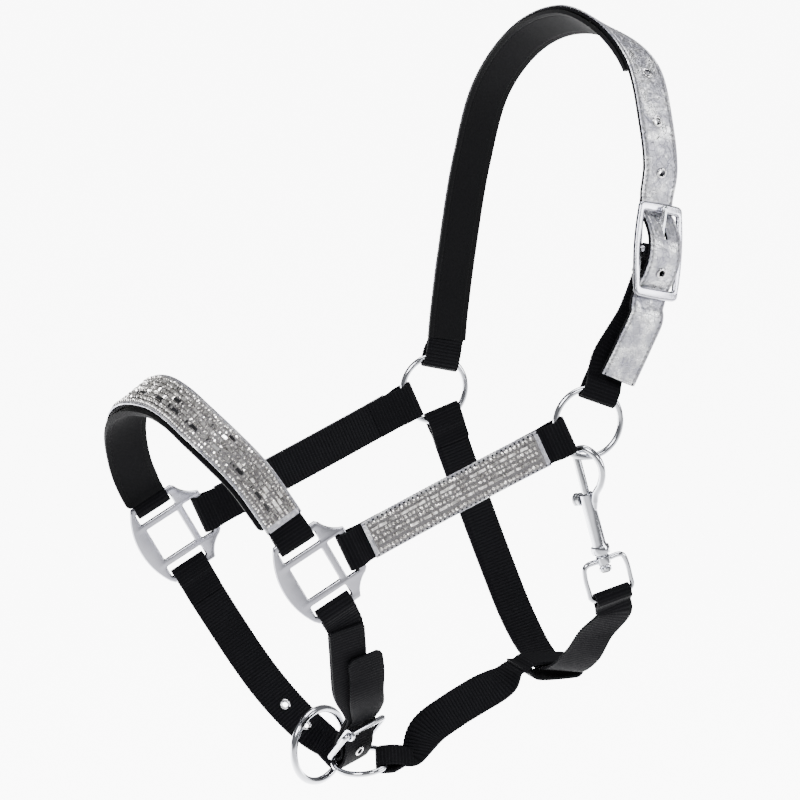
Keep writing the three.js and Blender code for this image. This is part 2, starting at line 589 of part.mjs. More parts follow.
// Far chin strap: down from the far square, through the lead ring, round under the link ring
// and the heel bar, out under the front bar, and up over the near strap.
const farChinBar = at(FAR_SQUARE, RISE, -OUTER_BAR);
const farChinWrap = wrap(farChinBar, RISE.clone().negate(), farOut, REAR, squareWrap,
  { reach: SQUARE_REACH, fold: 22 });
const chinPoint = (m, n, f = 0) => [...inChin(m, n, f).toArray(), ...CHIN_F.toArray()];
const farChinRun = run([
  [-242, 66, -387, 0.87, 0, 0.49], [-229, 64, -409, 0.85, 0.1, 0.5], [-216, 58, -431, 0.8, 0.15, 0.58],
  [-204, 48, -450, 0.75, 0.2, 0.62], [-192, 36, -466, 0.74, 0.25, 0.6], [-179, 24, -480, 0.78, 0.32, 0.5],
  chinPoint(-13, -14, -2), chinPoint(-14.2, -5), chinPoint(-13, 2), chinPoint(-8.8, 6.9), chinPoint(-2, 8),
  chinPoint(8, 6), chinPoint(18, 0.8), chinPoint(28, -3.5), chinPoint(36, -4.4, 1),
  [-161, -47, -440, 0.97, 0.2, 0.2], [-164, -57, -422, 0.98, 0.1, 0.22],
  [-168, -64.5, -407, 0.96, 0.08, 0.26],
], 3);
const farChinPath = [...farChinWrap, ...farChinRun];
const chinHoleAt = [98, 118, 176].map((distance) => stationAt(farChinRun, distance));
addPart('far_chin_strap',
  cut(strap(farChinPath, WEB_WIDTH, WEB_THICK), chinHoleAt.map((s) => holeAt(s, s.face))),
  'webbing');
chinHoleAt.forEach((station, k) => {
  const outward = station.face.y > 0 && k === 2 ? station.face.clone().negate() : station.face.clone();
  if (k < 2 && outward.y > 0) outward.negate();
  addPart(`chin_eyelet_${k + 1}`, eyelet(station, outward, WEB_THICK / 2 + CLEAR, 3), 'chrome');
});

// Chin buckle tongue, hanging from the front bar beside the strap.
function chinTongue() {
  const eye = new THREE.Shape().absarc(0, 0, CHIN_WIRE * Math.SQRT2 + CLEAR + 1.3, 0, 2 * Math.PI);
  eye.holes.push(new THREE.Path().absarc(0, 0, CHIN_WIRE * Math.SQRT2 + CLEAR, 0, 2 * Math.PI));
  const flat = { depth: 2, bevelEnabled: false, curveSegments: 8 };
  const blade = new THREE.Shape([
    new THREE.Vector2(-1, -4.1), new THREE.Vector2(-12, -3.6), new THREE.Vector2(-25, -2.2),
    new THREE.Vector2(-12, -1.8), new THREE.Vector2(-2.5, -2.3),
  ]);
  const tongue = join([new THREE.ExtrudeGeometry(eye, flat), new THREE.ExtrudeGeometry(blade, flat)]);
  tongue.translate(0, 0, -1);
  return place(tongue, inChin(CHIN_LENGTH, 0, -CHIN_HALF_WIDTH + 3.9), CHIN_M, CHIN_N,
    new THREE.Vector3().crossVectors(CHIN_M, CHIN_N));
}
addPart('chin_buckle_tongue', chinTongue(), 'chrome');

const LEAD_RING = vec(-175, 17, -489);
const LEAD_AXIS = vec(0.5, -0.866, 0);
addPart('lead_ring', ring(LEAD_RING_RADIUS, LEAD_RING_WIRE, LEAD_RING, LEAD_AXIS), 'chrome');

// Link ring: lies flat in the bend of the chin strap and carries the strap to the throat.
const linkPass = inChin(-9.5, -1.4);
const linkIn = axes(CHIN_F, vec(0.45, -0.85, -0.09))[1];
const LINK_RING = at(linkPass, linkIn, LINK_RING_RADIUS);
const linkNormal = new THREE.Vector3().crossVectors(CHIN_F, linkIn).normalize();
addPart('link_ring', ring(LINK_RING_RADIUS, LINK_RING_WIRE, LINK_RING, linkNormal), 'chrome');

// ---------- throat strap and snap ----------
// Snap axes: SNAP_A up the barrel, SNAP_L from the barrel towards the hook's back.
const [SNAP_A, SNAP_E] = axes(vec(-0.27, 0, 0.963), vec(0.963, 0, 0.27));
const HOOK_TURN = THREE.MathUtils.degToRad(50);
const SNAP_L = at(vec(0, 0, 0), SNAP_E, Math.cos(HOOK_TURN), vec(0, -1, 0), Math.sin(HOOK_TURN));
const SNAP_Q = new THREE.Vector3().crossVectors(SNAP_L, SNAP_A);
const ringLow = at(NEAR_RING, UP, -RING_RADIUS);
const BARREL_TOP = at(ringLow, SNAP_L, -8.5, SNAP_A, -25);
const inSnap = (l, a, q = 0) => at(BARREL_TOP, SNAP_L, l, SNAP_A, a, SNAP_Q, q);
const BARREL_LENGTH = 42;
const BORE_DEPTH = 30;

// Cylinder along the snap's axis between two heights.
function snapCylinder(radius, low, high, sides = 16) {
  const geometry = new THREE.CylinderGeometry(radius, radius, high - low, sides);
  return place(geometry, inSnap(0, (low + high) / 2), SNAP_L, SNAP_A, SNAP_Q);
}

function snapBody() {
  const hookPath = new THREE.CatmullRomCurve3([
    [5, -6], [7.2, -1], [12.5, 5], [16, 12], [16.6, 19], [14, 26], [8.6, 30.4], [3, 30.8], [-0.4, 28.6],
  ].map(([l, a]) => inSnap(l, a)), false, 'centripetal');
  const wire = new THREE.Shape();
  wire.absellipse(0, 0, 2.4, 2.4, 0, 2 * Math.PI);
  const hook = new THREE.ExtrudeGeometry(
    wire, { steps: 22, curveSegments: 5, bevelEnabled: false, extrudePath: hookPath });
  const collar = snapCylinder(6.3, -BARREL_LENGTH - 1, -BARREL_LENGTH + 4);
  const stem = snapCylinder(2, -BARREL_LENGTH - 10.5, -BARREL_LENGTH + 0.5, 12);
  const button = snapCylinder(4.2, -BARREL_LENGTH - 14, -BARREL_LENGTH - 10.2);
  const solid = join([snapCylinder(BARREL_RADIUS, -BARREL_LENGTH, 0), hook, collar, stem, button]);
  const bore = snapCylinder(BARREL_BORE, -BORE_DEPTH, 27.6);
  const slot = place(new THREE.BoxGeometry(8, 18, 3.4), inSnap(-5, -6), SNAP_L, SNAP_A, SNAP_Q);
  return cut(solid, [bore, slot]);
}
addPart('snap_body', snapBody(), 'chrome');

function snapBolt() {
  const shank = snapCylinder(BOLT_RADIUS, -17, 27);
  const neck = new THREE.CylinderGeometry(1.3, 1.3, 9, 10).rotateZ(Math.PI / 2);
  place(neck, inSnap(-5, -4), SNAP_L, SNAP_A, SNAP_Q);
  const profile = [[0, 0], [4.4, 0], [4.4, 1.2], [3.6, 1.6], [3.6, 2.4], [4.4, 2.8], [4.4, 4.2], [0, 4.2]]
    .map(([x, y]) => new THREE.Vector2(x, y));
  const knob = new THREE.LatheGeometry(profile, 14);
  knob.rotateZ(Math.PI / 2);
  place(knob, inSnap(-5.4, -4), SNAP_L, SNAP_A, SNAP_Q);
  return join([shank, neck, knob]);
}
addPart('snap_bolt', snapBolt(), 'steel');

function snapSpring() {
  const coils = 4;
  const points = [];
  for (let k = 0; k <= coils * 9; k += 1) {
    const turn = (k / 9) * 2 * Math.PI;
    points.push(inSnap(2.3 * Math.cos(turn), -29 + (k / (coils * 9)) * 11, 2.3 * Math.sin(turn)));
  }
  const wire = new THREE.Shape();
  wire.absellipse(0, 0, 0.45, 0.45, 0, 2 * Math.PI);
  return new THREE.ExtrudeGeometry(wire, {
    steps: coils * 9, curveSegments: 2, bevelEnabled: false,
    extrudePath: new THREE.CatmullRomCurve3(points),
  });
}
addPart('snap_spring', snapSpring(), 'steel');

// Swivel eye: a boss round the swivel stem and a squared bow that the throat strap loops through.
const EYE_TOP = -BARREL_LENGTH - 5.6;
const EYE_DROP = 25;
const EYE_HALF = 15.4;
const EYE_WIRE = 1.7;
function snapEye() {
  const bow = new THREE.Shape([
    new THREE.Vector2(-EYE_HALF + 2, 1.8), new THREE.Vector2(EYE_HALF - 2, 1.8),
    new THREE.Vector2(EYE_HALF + 1.7, -EYE_DROP + 3), new THREE.Vector2(EYE_HALF - 1, -EYE_DROP - EYE_WIRE),
    new THREE.Vector2(1 - EYE_HALF, -EYE_DROP - EYE_WIRE), new THREE.Vector2(-EYE_HALF - 1.7, -EYE_DROP + 3),
  ]);
  bow.holes.push(new THREE.Path([
    new THREE.Vector2(-EYE_HALF + 4.8, -1.8), new THREE.Vector2(-EYE_HALF + 1.5, -EYE_DROP + 3.4),
    new THREE.Vector2(-EYE_HALF + 2.6, -EYE_DROP + EYE_WIRE),
    new THREE.Vector2(EYE_HALF - 2.6, -EYE_DROP + EYE_WIRE),
    new THREE.Vector2(EYE_HALF - 1.5, -EYE_DROP + 3.4), new THREE.Vector2(EYE_HALF - 4.8, -1.8),
  ]));
  const plate = new THREE.ExtrudeGeometry(bow, { depth: 2 * EYE_WIRE, bevelEnabled: false });
  plate.translate(0, 0, -EYE_WIRE);
  const E_OUT = new THREE.Vector3().crossVectors(SNAP_E, SNAP_A);
  place(plate, inSnap(0, EYE_TOP), SNAP_E, SNAP_A, E_OUT);
  const boss = snapCylinder(4.6, EYE_TOP - 3.6, EYE_TOP + 3.6);
  return cut(join([plate, boss]), [snapCylinder(2.5, EYE_TOP - 6, EYE_TOP + 6, 12)]);
}
addPart('snap_eye', snapEye(), 'chrome');

// Throat strap: from the far ring, under the jaw and up to the swivel eye.
const throatAway = vec(0.33, 0, -0.944).normalize();
const throatBar = at(FAR_RING, throatAway, RING_RADIUS);
const throatWidth = new THREE.Vector3().crossVectors(throatAway, farOut).normalize();
const throatTurn = Math.sign(throatWidth.x);
const throatLow = wrap(throatBar, throatAway, farOut, throatWidth, wrapRadius(RING_WIRE),
  { reach: RING_REACH, fold: 17 }).map((s) => ({ p: s.p, w: s.w.clone().multiplyScalar(throatTurn) }));
const eyeBar = inSnap(0, EYE_TOP - EYE_DROP);
const eyeAway = at(vec(0, 0, 0), SNAP_A, -0.93, vec(0, 1, 0), 0.36);
const eyeOut = at(vec(0, 0, 0), SNAP_A, -0.36, vec(0, 1, 0), -0.93);
const throatHigh = reversed(wrap(eyeBar, eyeAway, eyeOut, SNAP_E, EYE_WIRE * Math.SQRT2 + CLEAR + WEB_THICK / 2,
  { fold: 14, neck: 8 }));
const throatRun = run([
  [-60, 76, -296, 0.93, 0.06, 0.33], [-48, 70, -333, 0.93, 0.1, 0.33], [-32, 60, -382, 0.93, 0.12, 0.3],
  [-22, 45, -416, 0.97, 0.1, 0.2], [-15.5, 27, -436, 1, 0.1, 0.03], [-12, 4, -443.5, 1, 0.05, -0.06],
  [-9, -18, -440, 0.98, 0, -0.2], [-5, -38, -426, 0.93, 0, -0.3], [-2, -54, -408, 0.96, 0, -0.1],
  [at(eyeBar, eyeAway, 16).x, at(eyeBar, eyeAway, 16).y, at(eyeBar, eyeAway, 16).z, 0.98, 0, 0.15],
], 4);
addPart('throat_strap', strap([...throatLow, ...throatRun, ...throatHigh], WEB_WIDTH, WEB_THICK), 'webbing');

// Strap from the link ring back to a flat loop round the throat strap.
const linkAway = axes(linkNormal, vec(0.95, -0.3, 0.1))[1];
const linkBar = at(LINK_RING, linkAway, LINK_RING_RADIUS);
const linkOut = linkNormal.clone().multiplyScalar(Math.sign(-linkNormal.z));
const linkWidth = new THREE.Vector3().crossVectors(linkAway, linkOut).normalize();
const linkTurn = Math.sign(linkWidth.y);
const linkWrap = wrap(
  linkBar, linkAway, linkOut, linkWidth, wrapRadius(LINK_RING_WIRE), { reach: 5.6, fold: 16 })
  .map((s) => ({ p: s.p, w: s.w.clone().multiplyScalar(linkTurn) }));
const THROAT_LOOP_RADIUS = 5.2;
const [throatDir, throatAcross, throatUp] = axes(vec(0.1, -1, -0.03), vec(-1, 0, 0.06));
const throatLoopAt = at(vec(-12, 5, -443.5), throatAcross, 13.6);
const throatLoop = reversed(wrap(throatLoopAt, throatAcross, throatUp, throatDir.clone().negate(),
  THROAT_LOOP_RADIUS, { reach: 27.6, fold: 14, neck: 9 }));
addPart('connecting_strap', strap([
  ...linkWrap,
  ...run([
    [...at(linkBar, linkAway, 15).toArray(), 0, 1, 0.1], [-106, -8, -478, -0.3, 0.6, 0.74],
    [-88, -6, -467, -0.45, 0.25, 0.85], [-68, -3, -458, -0.4, 0.4, 0.8], [-48, 1, -450, -0.2, 0.8, 0.5],
    [...at(throatLoopAt, throatAcross, 14).toArray(), 0, 1, 0.05],
  ], 4),
  ...throatLoop,
], WEB_WIDTH, WEB_THICK), 'webbing');

export default group;
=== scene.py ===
import math
import random

import bmesh
import bpy
from mathutils import Matrix, Vector


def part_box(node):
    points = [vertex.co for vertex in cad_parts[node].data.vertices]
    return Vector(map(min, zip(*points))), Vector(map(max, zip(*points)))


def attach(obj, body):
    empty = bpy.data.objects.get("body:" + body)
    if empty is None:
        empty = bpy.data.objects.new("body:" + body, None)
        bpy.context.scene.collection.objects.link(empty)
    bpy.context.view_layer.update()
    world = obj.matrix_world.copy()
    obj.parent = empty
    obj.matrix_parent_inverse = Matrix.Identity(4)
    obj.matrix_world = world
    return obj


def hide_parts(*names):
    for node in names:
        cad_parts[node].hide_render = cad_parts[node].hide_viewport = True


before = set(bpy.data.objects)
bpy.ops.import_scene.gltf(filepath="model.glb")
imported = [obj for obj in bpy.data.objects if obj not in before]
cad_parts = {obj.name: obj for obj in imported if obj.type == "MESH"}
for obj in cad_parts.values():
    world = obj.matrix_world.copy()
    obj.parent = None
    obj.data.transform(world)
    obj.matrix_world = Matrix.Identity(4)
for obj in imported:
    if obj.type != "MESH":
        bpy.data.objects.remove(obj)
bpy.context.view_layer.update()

# ---- Camera -------------------------------------------------------------------------------
# A long lens a little above the headcollar, in front of its near side.
camera = bpy.data.objects.new("camera", bpy.data.cameras.new("camera"))
bpy.context.scene.collection.objects.link(camera)
camera.location = (-0.7941, -2.0663, 0.1375)
looks_at = Vector((-0.1246, -0.0058, -0.2445))
camera.rotation_euler = (looks_at - camera.location).to_track_quat("-Z", "Y").to_euler()
camera.data.sensor_width = 36
camera.data.lens = 148.5
bpy.context.scene.camera = camera

# ---- Studio -------------------------------------------------------------------------------
# A wide white floor well below the headcollar, and large soft boxes. The floor glows with painted
# light, brighter behind the headcollar and faint in front of it. The floor isn't part of the headcollar.
FLOOR_HEIGHT = -0.8
floor_mesh = bmesh.new()
bmesh.ops.create_grid(floor_mesh, x_segments=1, y_segments=1, size=30,
                      matrix=Matrix.Translation((0, 12, FLOOR_HEIGHT)))
floor = bpy.data.objects.new("white_floor", bpy.data.meshes.new("white_floor"))
floor_mesh.to_mesh(floor.data)
bpy.context.scene.collection.objects.link(floor)
paper = bpy.data.materials.new("white_floor_painted_glow")
paper.use_nodes = True
paper_shader = paper.node_tree.nodes["Principled BSDF"]
paper_shader.inputs["Base Color"].default_value = (0.93, 0.93, 0.93, 1)
paper_shader.inputs["Roughness"].default_value = 0.9
# Painted light: the floor glows, its emission fading from bright behind to faint in front.
paper_shader.inputs["Emission Strength"].default_value = 9.0
paper_place = paper.node_tree.nodes.new("ShaderNodeTexCoord")
paper_axes = paper.node_tree.nodes.new("ShaderNodeSeparateXYZ")
floor_glow_fade = paper.node_tree.nodes.new("ShaderNodeMapRange")
floor_glow_fade.interpolation_type = "SMOOTHSTEP"
for key, value in (("From Min", -0.6), ("From Max", 0.6), ("To Min", 0.012), ("To Max", 1.0)):
    floor_glow_fade.inputs[key].default_value = value
paper.node_tree.links.new(paper_place.outputs["Object"], paper_axes.inputs[0])
paper.node_tree.links.new(paper_axes.outputs["Y"], floor_glow_fade.inputs["Value"])
paper.node_tree.links.new(floor_glow_fade.outputs[0], paper_shader.inputs["Emission Color"])
floor.data.materials.append(paper)

world = bpy.data.worlds.new("studio_room")
world.use_nodes = True
world.node_tree.nodes["Background"].inputs["Color"].default_value = (0.97, 0.98, 1.0, 1)
world.node_tree.nodes["Background"].inputs["Strength"].default_value = 0.22
bpy.context.scene.world = world
for name, place, size, watts in (
    ("key_box", (-1.5, -1.7, 1.4), 1.1, 60), ("right_box", (1.8, -1.5, 0.3), 0.9, 30),
    ("top_box", (0.2, 0.2, 1.9), 1.4, 60), ("front_box", (0.5, -2.7, 0.9), 0.6, 16),
):
    lamp = bpy.data.objects.new(name, bpy.data.lights.new(name, "AREA"))
    lamp.data.size = size
    lamp.data.energy = watts
    lamp.location = place
    lamp.rotation_euler = (looks_at - lamp.location).to_track_quat("-Z", "Y").to_euler()
    bpy.context.scene.collection.objects.link(lamp)

# ---- Noseband webbing ---------------------------------------------------------------------
# Flat black nylon webbing, 25 mm wide, woven in ribs across its width. Each end goes through a
# slot of a halter square, round its outer bar, and is folded back and sewn behind the strap.
MM = 0.001
WEB_WIDTH = 25 * MM
WEB_THICK = 1.8 * MM
LAYER_GAP = 0.7 * MM
CLEAR = 0.35 * MM
RIB_PITCH = 2.3 * MM
RIB_HEIGHT = 0.16 * MM
END_FLAT = 0.3 * MM               # what a rounded strap end keeps of its square end
STATION_STEP = 0.46 * MM          # between the rows of a strap's mesh
PER_SPAN = 12                     # points worked out between two named stations
POINT_PASSES, WIDTH_PASSES = 4, 30   # how often a route and its twist are smoothed
POLL_DROP = 5                     # the straps' points are measured from the webbing at the poll


def spot(x, y, z):
    """A point given in millimetres from the middle of the webbing at the poll."""
    return Vector((x, y, z + POLL_DROP)) * MM


def bend_round(wire):
    """How far the middle of a strap runs from the middle of a wire it bends round, in millimetres."""
    return wire + CLEAR / MM + WEB_THICK / 2 / MM


def right_angled(first, second):
    """Three axes at right angles: the first as given, the second as near as it can be."""
    a = Vector(first).normalized()
    b = Vector(second)
    b = (b - a * b.dot(a)).normalized()
    return a, b, a.cross(b)


def curve_through(points, per_span):
    """Points of a smooth curve through the given ones, per_span of them to each span."""
    ends = [2 * points[0] - points[1], *points, 2 * points[-1] - points[-2]]
    out = []
    for a, b, c, d in zip(ends, ends[1:], ends[2:], ends[3:]):
        t1 = (b - a).length ** 0.5
        t2 = t1 + (c - b).length ** 0.5
        t3 = t2 + (d - c).length ** 0.5
        for k in range(per_span):
            t = t1 + (t2 - t1) * k / per_span
            ab, bc, cd = a.lerp(b, t / t1), b.lerp(c, (t - t1) / (t2 - t1)), c.lerp(d, (t - t2) / (t3 - t2))
            abc, bcd = ab.lerp(bc, t / t2), bc.lerp(cd, (t - t1) / (t3 - t1))
            out.append(abc.lerp(bcd, (t - t1) / (t2 - t1)))
    return out + [points[-1].copy()]


def laid(points):
    """Stations (point, width direction) from rows of x, y, z in millimetres and a width direction."""
    return [(spot(*row[:3]), Vector(row[3:]).normalized()) for row in points]


def wrapped(bar, away, out, width, radius, reach=0.0, fold=26, neck=9):
    """Stations of a strap end folded back behind itself, round a bar, and on along `away`."""
    behind = -(WEB_THICK + CLEAR) / MM
    rows = [(fold, behind), (neck, behind), (neck * 0.6, -radius * 0.9), (2.4, -radius)]
    for k in range(9):
        angle = math.pi * (k / 8 - 0.5)
        rows.append((-reach - radius * math.cos(angle), radius * math.sin(angle)))
    rows += [(2.4, radius), (neck * 0.6, radius * 0.55), (neck, 0)]
    return [(bar + away * (a * MM) + out * (o * MM), width.copy()) for a, o in rows]


class StrapLine:
    """The middle line of a strap, with its width and face directions, at even small steps."""

    def __init__(self, stations):
        dense = curve_through([p for p, _ in stations], PER_SPAN)
        spans = len(stations) - 1
        widths = []
        for k in range(len(dense)):
            span = min(k // PER_SPAN, spans - 1)
            widths.append(stations[span][1].lerp(stations[span + 1][1], k / PER_SPAN - span))
        gone = [0.0]
        for a, b in zip(dense, dense[1:]):
            gone.append(gone[-1] + (b - a).length)
        self.length = gone[-1]
        self.count = max(2, round(self.length / STATION_STEP))
        self.step = self.length / self.count
        self.points, self.widths, k = [], [], 0
        for i in range(self.count + 1):
            target = min(i * self.step, self.length)
            while k < len(gone) - 2 and gone[k + 1] < target:
                k += 1
            share = (target - gone[k]) / max(gone[k + 1] - gone[k], 1e-9)
            self.points.append(dense[k].lerp(dense[k + 1], share))
            self.widths.append(widths[k].lerp(widths[k + 1], share))
        for line, times in ((self.points, POINT_PASSES), (self.widths, WIDTH_PASSES)):
            for _ in range(times):
                line[1:-1] = [(a + 2 * b + c) / 4 for a, b, c in zip(line, line[1:], line[2:])]
        self.tangents, self.normals = [], []
        for i in range(self.count + 1):
            run = (self.points[min(i + 1, self.count)] - self.points[max(i - 1, 0)]).normalized()
            across = self.widths[i] - run * self.widths[i].dot(run)
            self.widths[i] = across.normalized()
            self.tangents.append(run)
            self.normals.append(run.cross(self.widths[i]).normalized())

    def nearest(self, point):
        """The distance along the strap that is nearest to a point."""
        return min(range(self.count + 1), key=lambda i: (self.points[i] - point).length_squared) * self.step

    def frame(self, along, across, height):
        """A matrix at a place on the strap: x along it, y across it, z out of its face."""
        i = max(0, min(self.count, round(along / self.step)))
        origin = self.points[i] + self.widths[i] * across + self.normals[i] * height
        turn = Matrix((self.tangents[i], self.widths[i], self.normals[i])).transposed()
        return Matrix.Translation(origin) @ turn.to_4x4()


def add_piece(name, mesh, material, body="straps", replaced=(), keep_slots=False):
    """Makes the finished object of a bmesh, sets it on its body, and hides the model parts it replaces."""
    data = bpy.data.meshes.new(name)
    mesh.to_mesh(data)
    mesh.free()
    piece = bpy.data.objects.new(name, data)
    bpy.context.scene.collection.objects.link(piece)
    for each in (material if keep_slots else [material]):
        data.materials.append(each)
    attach(piece, body)
    if replaced:
        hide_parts(*replaced)
    return piece


def strap_piece(name, line, material, replaced=(), width=WEB_WIDTH, thick=WEB_THICK, height=0.0,
                start=0.0, end=None, every=1, ribs=RIB_HEIGHT, across=10, corner=0.0, edge=0.5 * MM,
                edge_steps=2, holes=(), crease=0.0, shift=0.0):
    """One layer of a strap: a grid laid along its line, given its thickness and soft edges."""
    first = round(start / line.step)
    last = line.count if end is None else min(line.count, round(end / line.step))
    rows = (last - first) // every
    mesh = bmesh.new()
    bmesh.ops.create_grid(mesh, x_segments=rows, y_segments=across, size=1)
    uv_layer = mesh.loops.layers.uv.new("strap")
    place = {}
    for vert in mesh.verts:
        row = round((vert.co.x + 1) / 2 * rows)
        i = first + row * every
        along = i * line.step
        lean = math.sin(vert.co.y * math.pi / 2)
        half = width / 2
        if ribs:
            half += 0.7 * ribs * math.cos(2 * math.pi * along / RIB_PITCH)
        spare = min(row * every * line.step + END_FLAT, (rows - row) * every * line.step + END_FLAT)
        if corner and spare < corner:
            half -= corner - math.sqrt(corner ** 2 - (corner - spare) ** 2)
        out = height + ribs * math.cos(2 * math.pi * along / RIB_PITCH) * (1 - 0.6 * abs(lean) ** 6)
        if crease:
            out += crease * (math.sin(along * 900 + 2 * math.sin(lean * 3 + along * 210))
                             * math.sin(lean * 5 + along * 330) * (1 - lean ** 4))
        place[vert.index] = (along, lean * half)
        vert.co = line.points[i] + line.widths[i] * (lean * half + shift) + line.normals[i] * out
    for face in mesh.faces:
        face.smooth = True
        for loop in face.loops:
            loop[uv_layer].uv = place[loop.vert.index]
    gone = []
    for at, half_long, half_wide in holes:
        for face in mesh.faces:
            u = sum(place[v.index][0] for v in face.verts) / 4 - at
            v = sum(place[v.index][1] for v in face.verts) / 4
            if (u / half_long) ** 2 + (v / half_wide) ** 2 < 1:
                gone.append(face)
    bmesh.ops.delete(mesh, geom=list(set(gone)), context="FACES")
    piece = add_piece(name, mesh, material, replaced=replaced)
    wall = piece.modifiers.new("thickness", "SOLIDIFY")
    wall.thickness = thick
    wall.offset = 0
    soft = piece.modifiers.new("edges", "BEVEL")
    soft.width = edge
    soft.segments = edge_steps
    soft.limit_method = "ANGLE"
    soft.angle_limit = math.radians(50)
    return piece


class Value:
    """A shader socket that can be used in Python arithmetic."""

    def __init__(self, finish, socket):
        self.finish, self.socket = finish, socket

    def maths(self, operation, *others):
        return self.finish.node("Math", {"operation": operation}, dict(enumerate((self, *others))))

    def __add__(self, other): return self.maths("ADD", other)
    def __mul__(self, other): return self.maths("MULTIPLY", other)
    def __sub__(self, other): return self.maths("SUBTRACT", other)
    def __rsub__(self, other): return self.finish.node("Math", {"operation": "SUBTRACT"},
                                                       {0: other, 1: self})
    __radd__, __rmul__ = __add__, __mul__

    def wave(self, pitch):
        """0 to 1 and back over each pitch."""
        return (self * (2 * math.pi / pitch)).maths("SINE") * 0.5 + 0.5

    def above(self, edge, soft):
        """0 below the edge, 1 above it, over a soft width."""
        return self.finish.node("MapRange", {"interpolation_type": "SMOOTHSTEP"},
                                {"Value": self, "From Min": edge - soft, "From Max": edge + soft})


class Finish:
    """A material that is built node by node on one Principled shader."""

    def __init__(self, name, **constants):
        self.material = bpy.data.materials.new(name)
        self.material.use_nodes = True
        self.tree = self.material.node_tree
        self.shader = self.tree.nodes["Principled BSDF"]
        for key, value in constants.items():
            self.shader.inputs[key.replace("_", " ").title().replace("Ior", "IOR")].default_value = value

    def join(self, value, socket):
        if isinstance(value, Value):
            self.tree.links.new(value.socket, socket)
        else:
            socket.default_value = value

    def node(self, kind, settings, sockets, out=0):
        node = self.tree.nodes.new("ShaderNode" + kind)
        for key, value in settings.items():
            if key == "stops":
                ramp = node.color_ramp.elements
                while len(ramp) < len(value):
                    ramp.new(0.5)
                for stop, (where, colour) in zip(ramp, value):
                    stop.position, stop.color = where, colour
            else:
                setattr(node, key, value)
        for key, value in sockets.items():
            self.join(value, node.inputs[key])
        return Value(self, node.outputs[out])

    def along_across(self):
        """The strap's own coordinates: metres along it and across it."""
        both = self.node("UVMap", {"uv_map": "strap"}, {})
        return (self.node("SeparateXYZ", {}, {0: both}, "X"), self.node("SeparateXYZ", {}, {0: both}, "Y"))

    def noise(self, scale, detail=3, rough=0.5, where=None, stretch=(1, 1, 1)):
        where = where or self.node("TexCoord", {}, {}, "Object")
        spread = self.node("Mapping", {}, {"Vector": where, "Scale": stretch})
        return self.node("TexNoise", {}, {"Vector": spread, "Scale": scale, "Detail": detail,
                                          "Roughness": rough})

    def mix(self, share, a, b):
        return self.node("Mix", {"data_type": "RGBA"}, {0: share, 6: a, 7: b}, 2)

    def colour(self, value): self.join(value, self.shader.inputs["Base Color"])
    def rough(self, value): self.join(value, self.shader.inputs["Roughness"])

    def bump(self, height, distance, strength=1.0):
        raised = self.node("Bump", {}, {"Height": height, "Distance": distance, "Strength": strength})
        self.join(raised, self.shader.inputs["Normal"])


def nylon_webbing():
    """Black nylon: warp yarns run along the strap and rise over each rib."""
    look = Finish("nylon_webbing", sheen_weight=0.01, sheen_roughness=0.45, specular_ior_level=0.05)
    along, across = look.along_across()
    rib = (along + RIB_PITCH / 4).wave(RIB_PITCH)
    yarn = across.wave(0.52 * MM)
    split = (along + across * 0.6).wave(1.15 * MM)
    fuzz = look.noise(2600, 2, 0.6)
    height = rib * 0.45 + yarn * rib * 0.4 + split * 0.12 + fuzz * 0.3
    look.bump(height, 0.22 * MM)
    # Colour: painted shade in the troughs between ribs and yarns, lighter on their crests, mixed with
    # random fibre tone.
    rib_shade_and_tone = rib * 0.5 + yarn * 0.18 + fuzz * 0.3 + look.noise(60, 2) * 0.25
    look.colour(look.mix(rib_shade_and_tone, (0.0008, 0.0008, 0.0012, 1), (0.0055, 0.0055, 0.007, 1)))
    look.rough(0.86 - rib * 0.22 - yarn * 0.06)
    return look.material


NYLON = nylon_webbing()
REAR = Vector((math.cos(math.radians(30)), 0, math.sin(math.radians(30))))
RISE = Vector((-REAR.z, 0, REAR.x))
NEAR_SQUARE = spot(-204, -72, -348)
FAR_SQUARE = spot(-265, 66, -347)
NEAR_SIDE = Vector((0, -1, 0))
FAR_SIDE = Vector((0, 1, 0))
OUTER_BAR = 27.8 * MM             # from a square's middle to the middle of an outer bar
SQUARE_FOLD = 3.4                 # the strap's bend round a square's bar, in millimetres
near_end = wrapped(NEAR_SQUARE + RISE * OUTER_BAR, RISE, NEAR_SIDE, REAR, SQUARE_FOLD, reach=2, fold=14)
far_end = wrapped(FAR_SQUARE + RISE * OUTER_BAR, RISE, FAR_SIDE, REAR, SQUARE_FOLD, reach=2, fold=10,
                  neck=8)
over_nose = laid([
    (-224, -72.5, -313, 0.87, 0, 0.5), (-246, -71, -281, 0.76, 0.02, 0.65),
    (-261, -65, -264, 0.74, 0.1, 0.66),
    (-274, -50, -250, 0.73, 0.1, 0.67), (-283, -30, -240, 0.73, 0.05, 0.68),
    (-290, -8, -236, 0.74, 0, 0.67),
    (-297, 14, -239, 0.78, -0.05, 0.62), (-300, 34, -250, 0.83, -0.1, 0.54),
    (-299, 49, -268, 0.9, -0.1, 0.42),
    (-292, 60, -296, 0.95, -0.05, 0.3), (-285, 65.5, -312, 0.9, 0, 0.43),
])
nose_line = StrapLine([*near_end, *over_nose[1:-1], *far_end[::-1]])
strap_piece("noseband_strap", nose_line, NYLON, ["noseband_webbing"])
nose_start = nose_line.nearest(over_nose[0][0])
nose_end = nose_line.nearest(over_nose[-1][0])

# ---- Noseband lining ----------------------------------------------------------------------
# A padded strip of soft black felt inside the noseband, wider than the webbing, so that a
# black border shows beside the foil. It is sewn down near both edges.
NOSE_LINING_WIDTH = 28.6 * MM


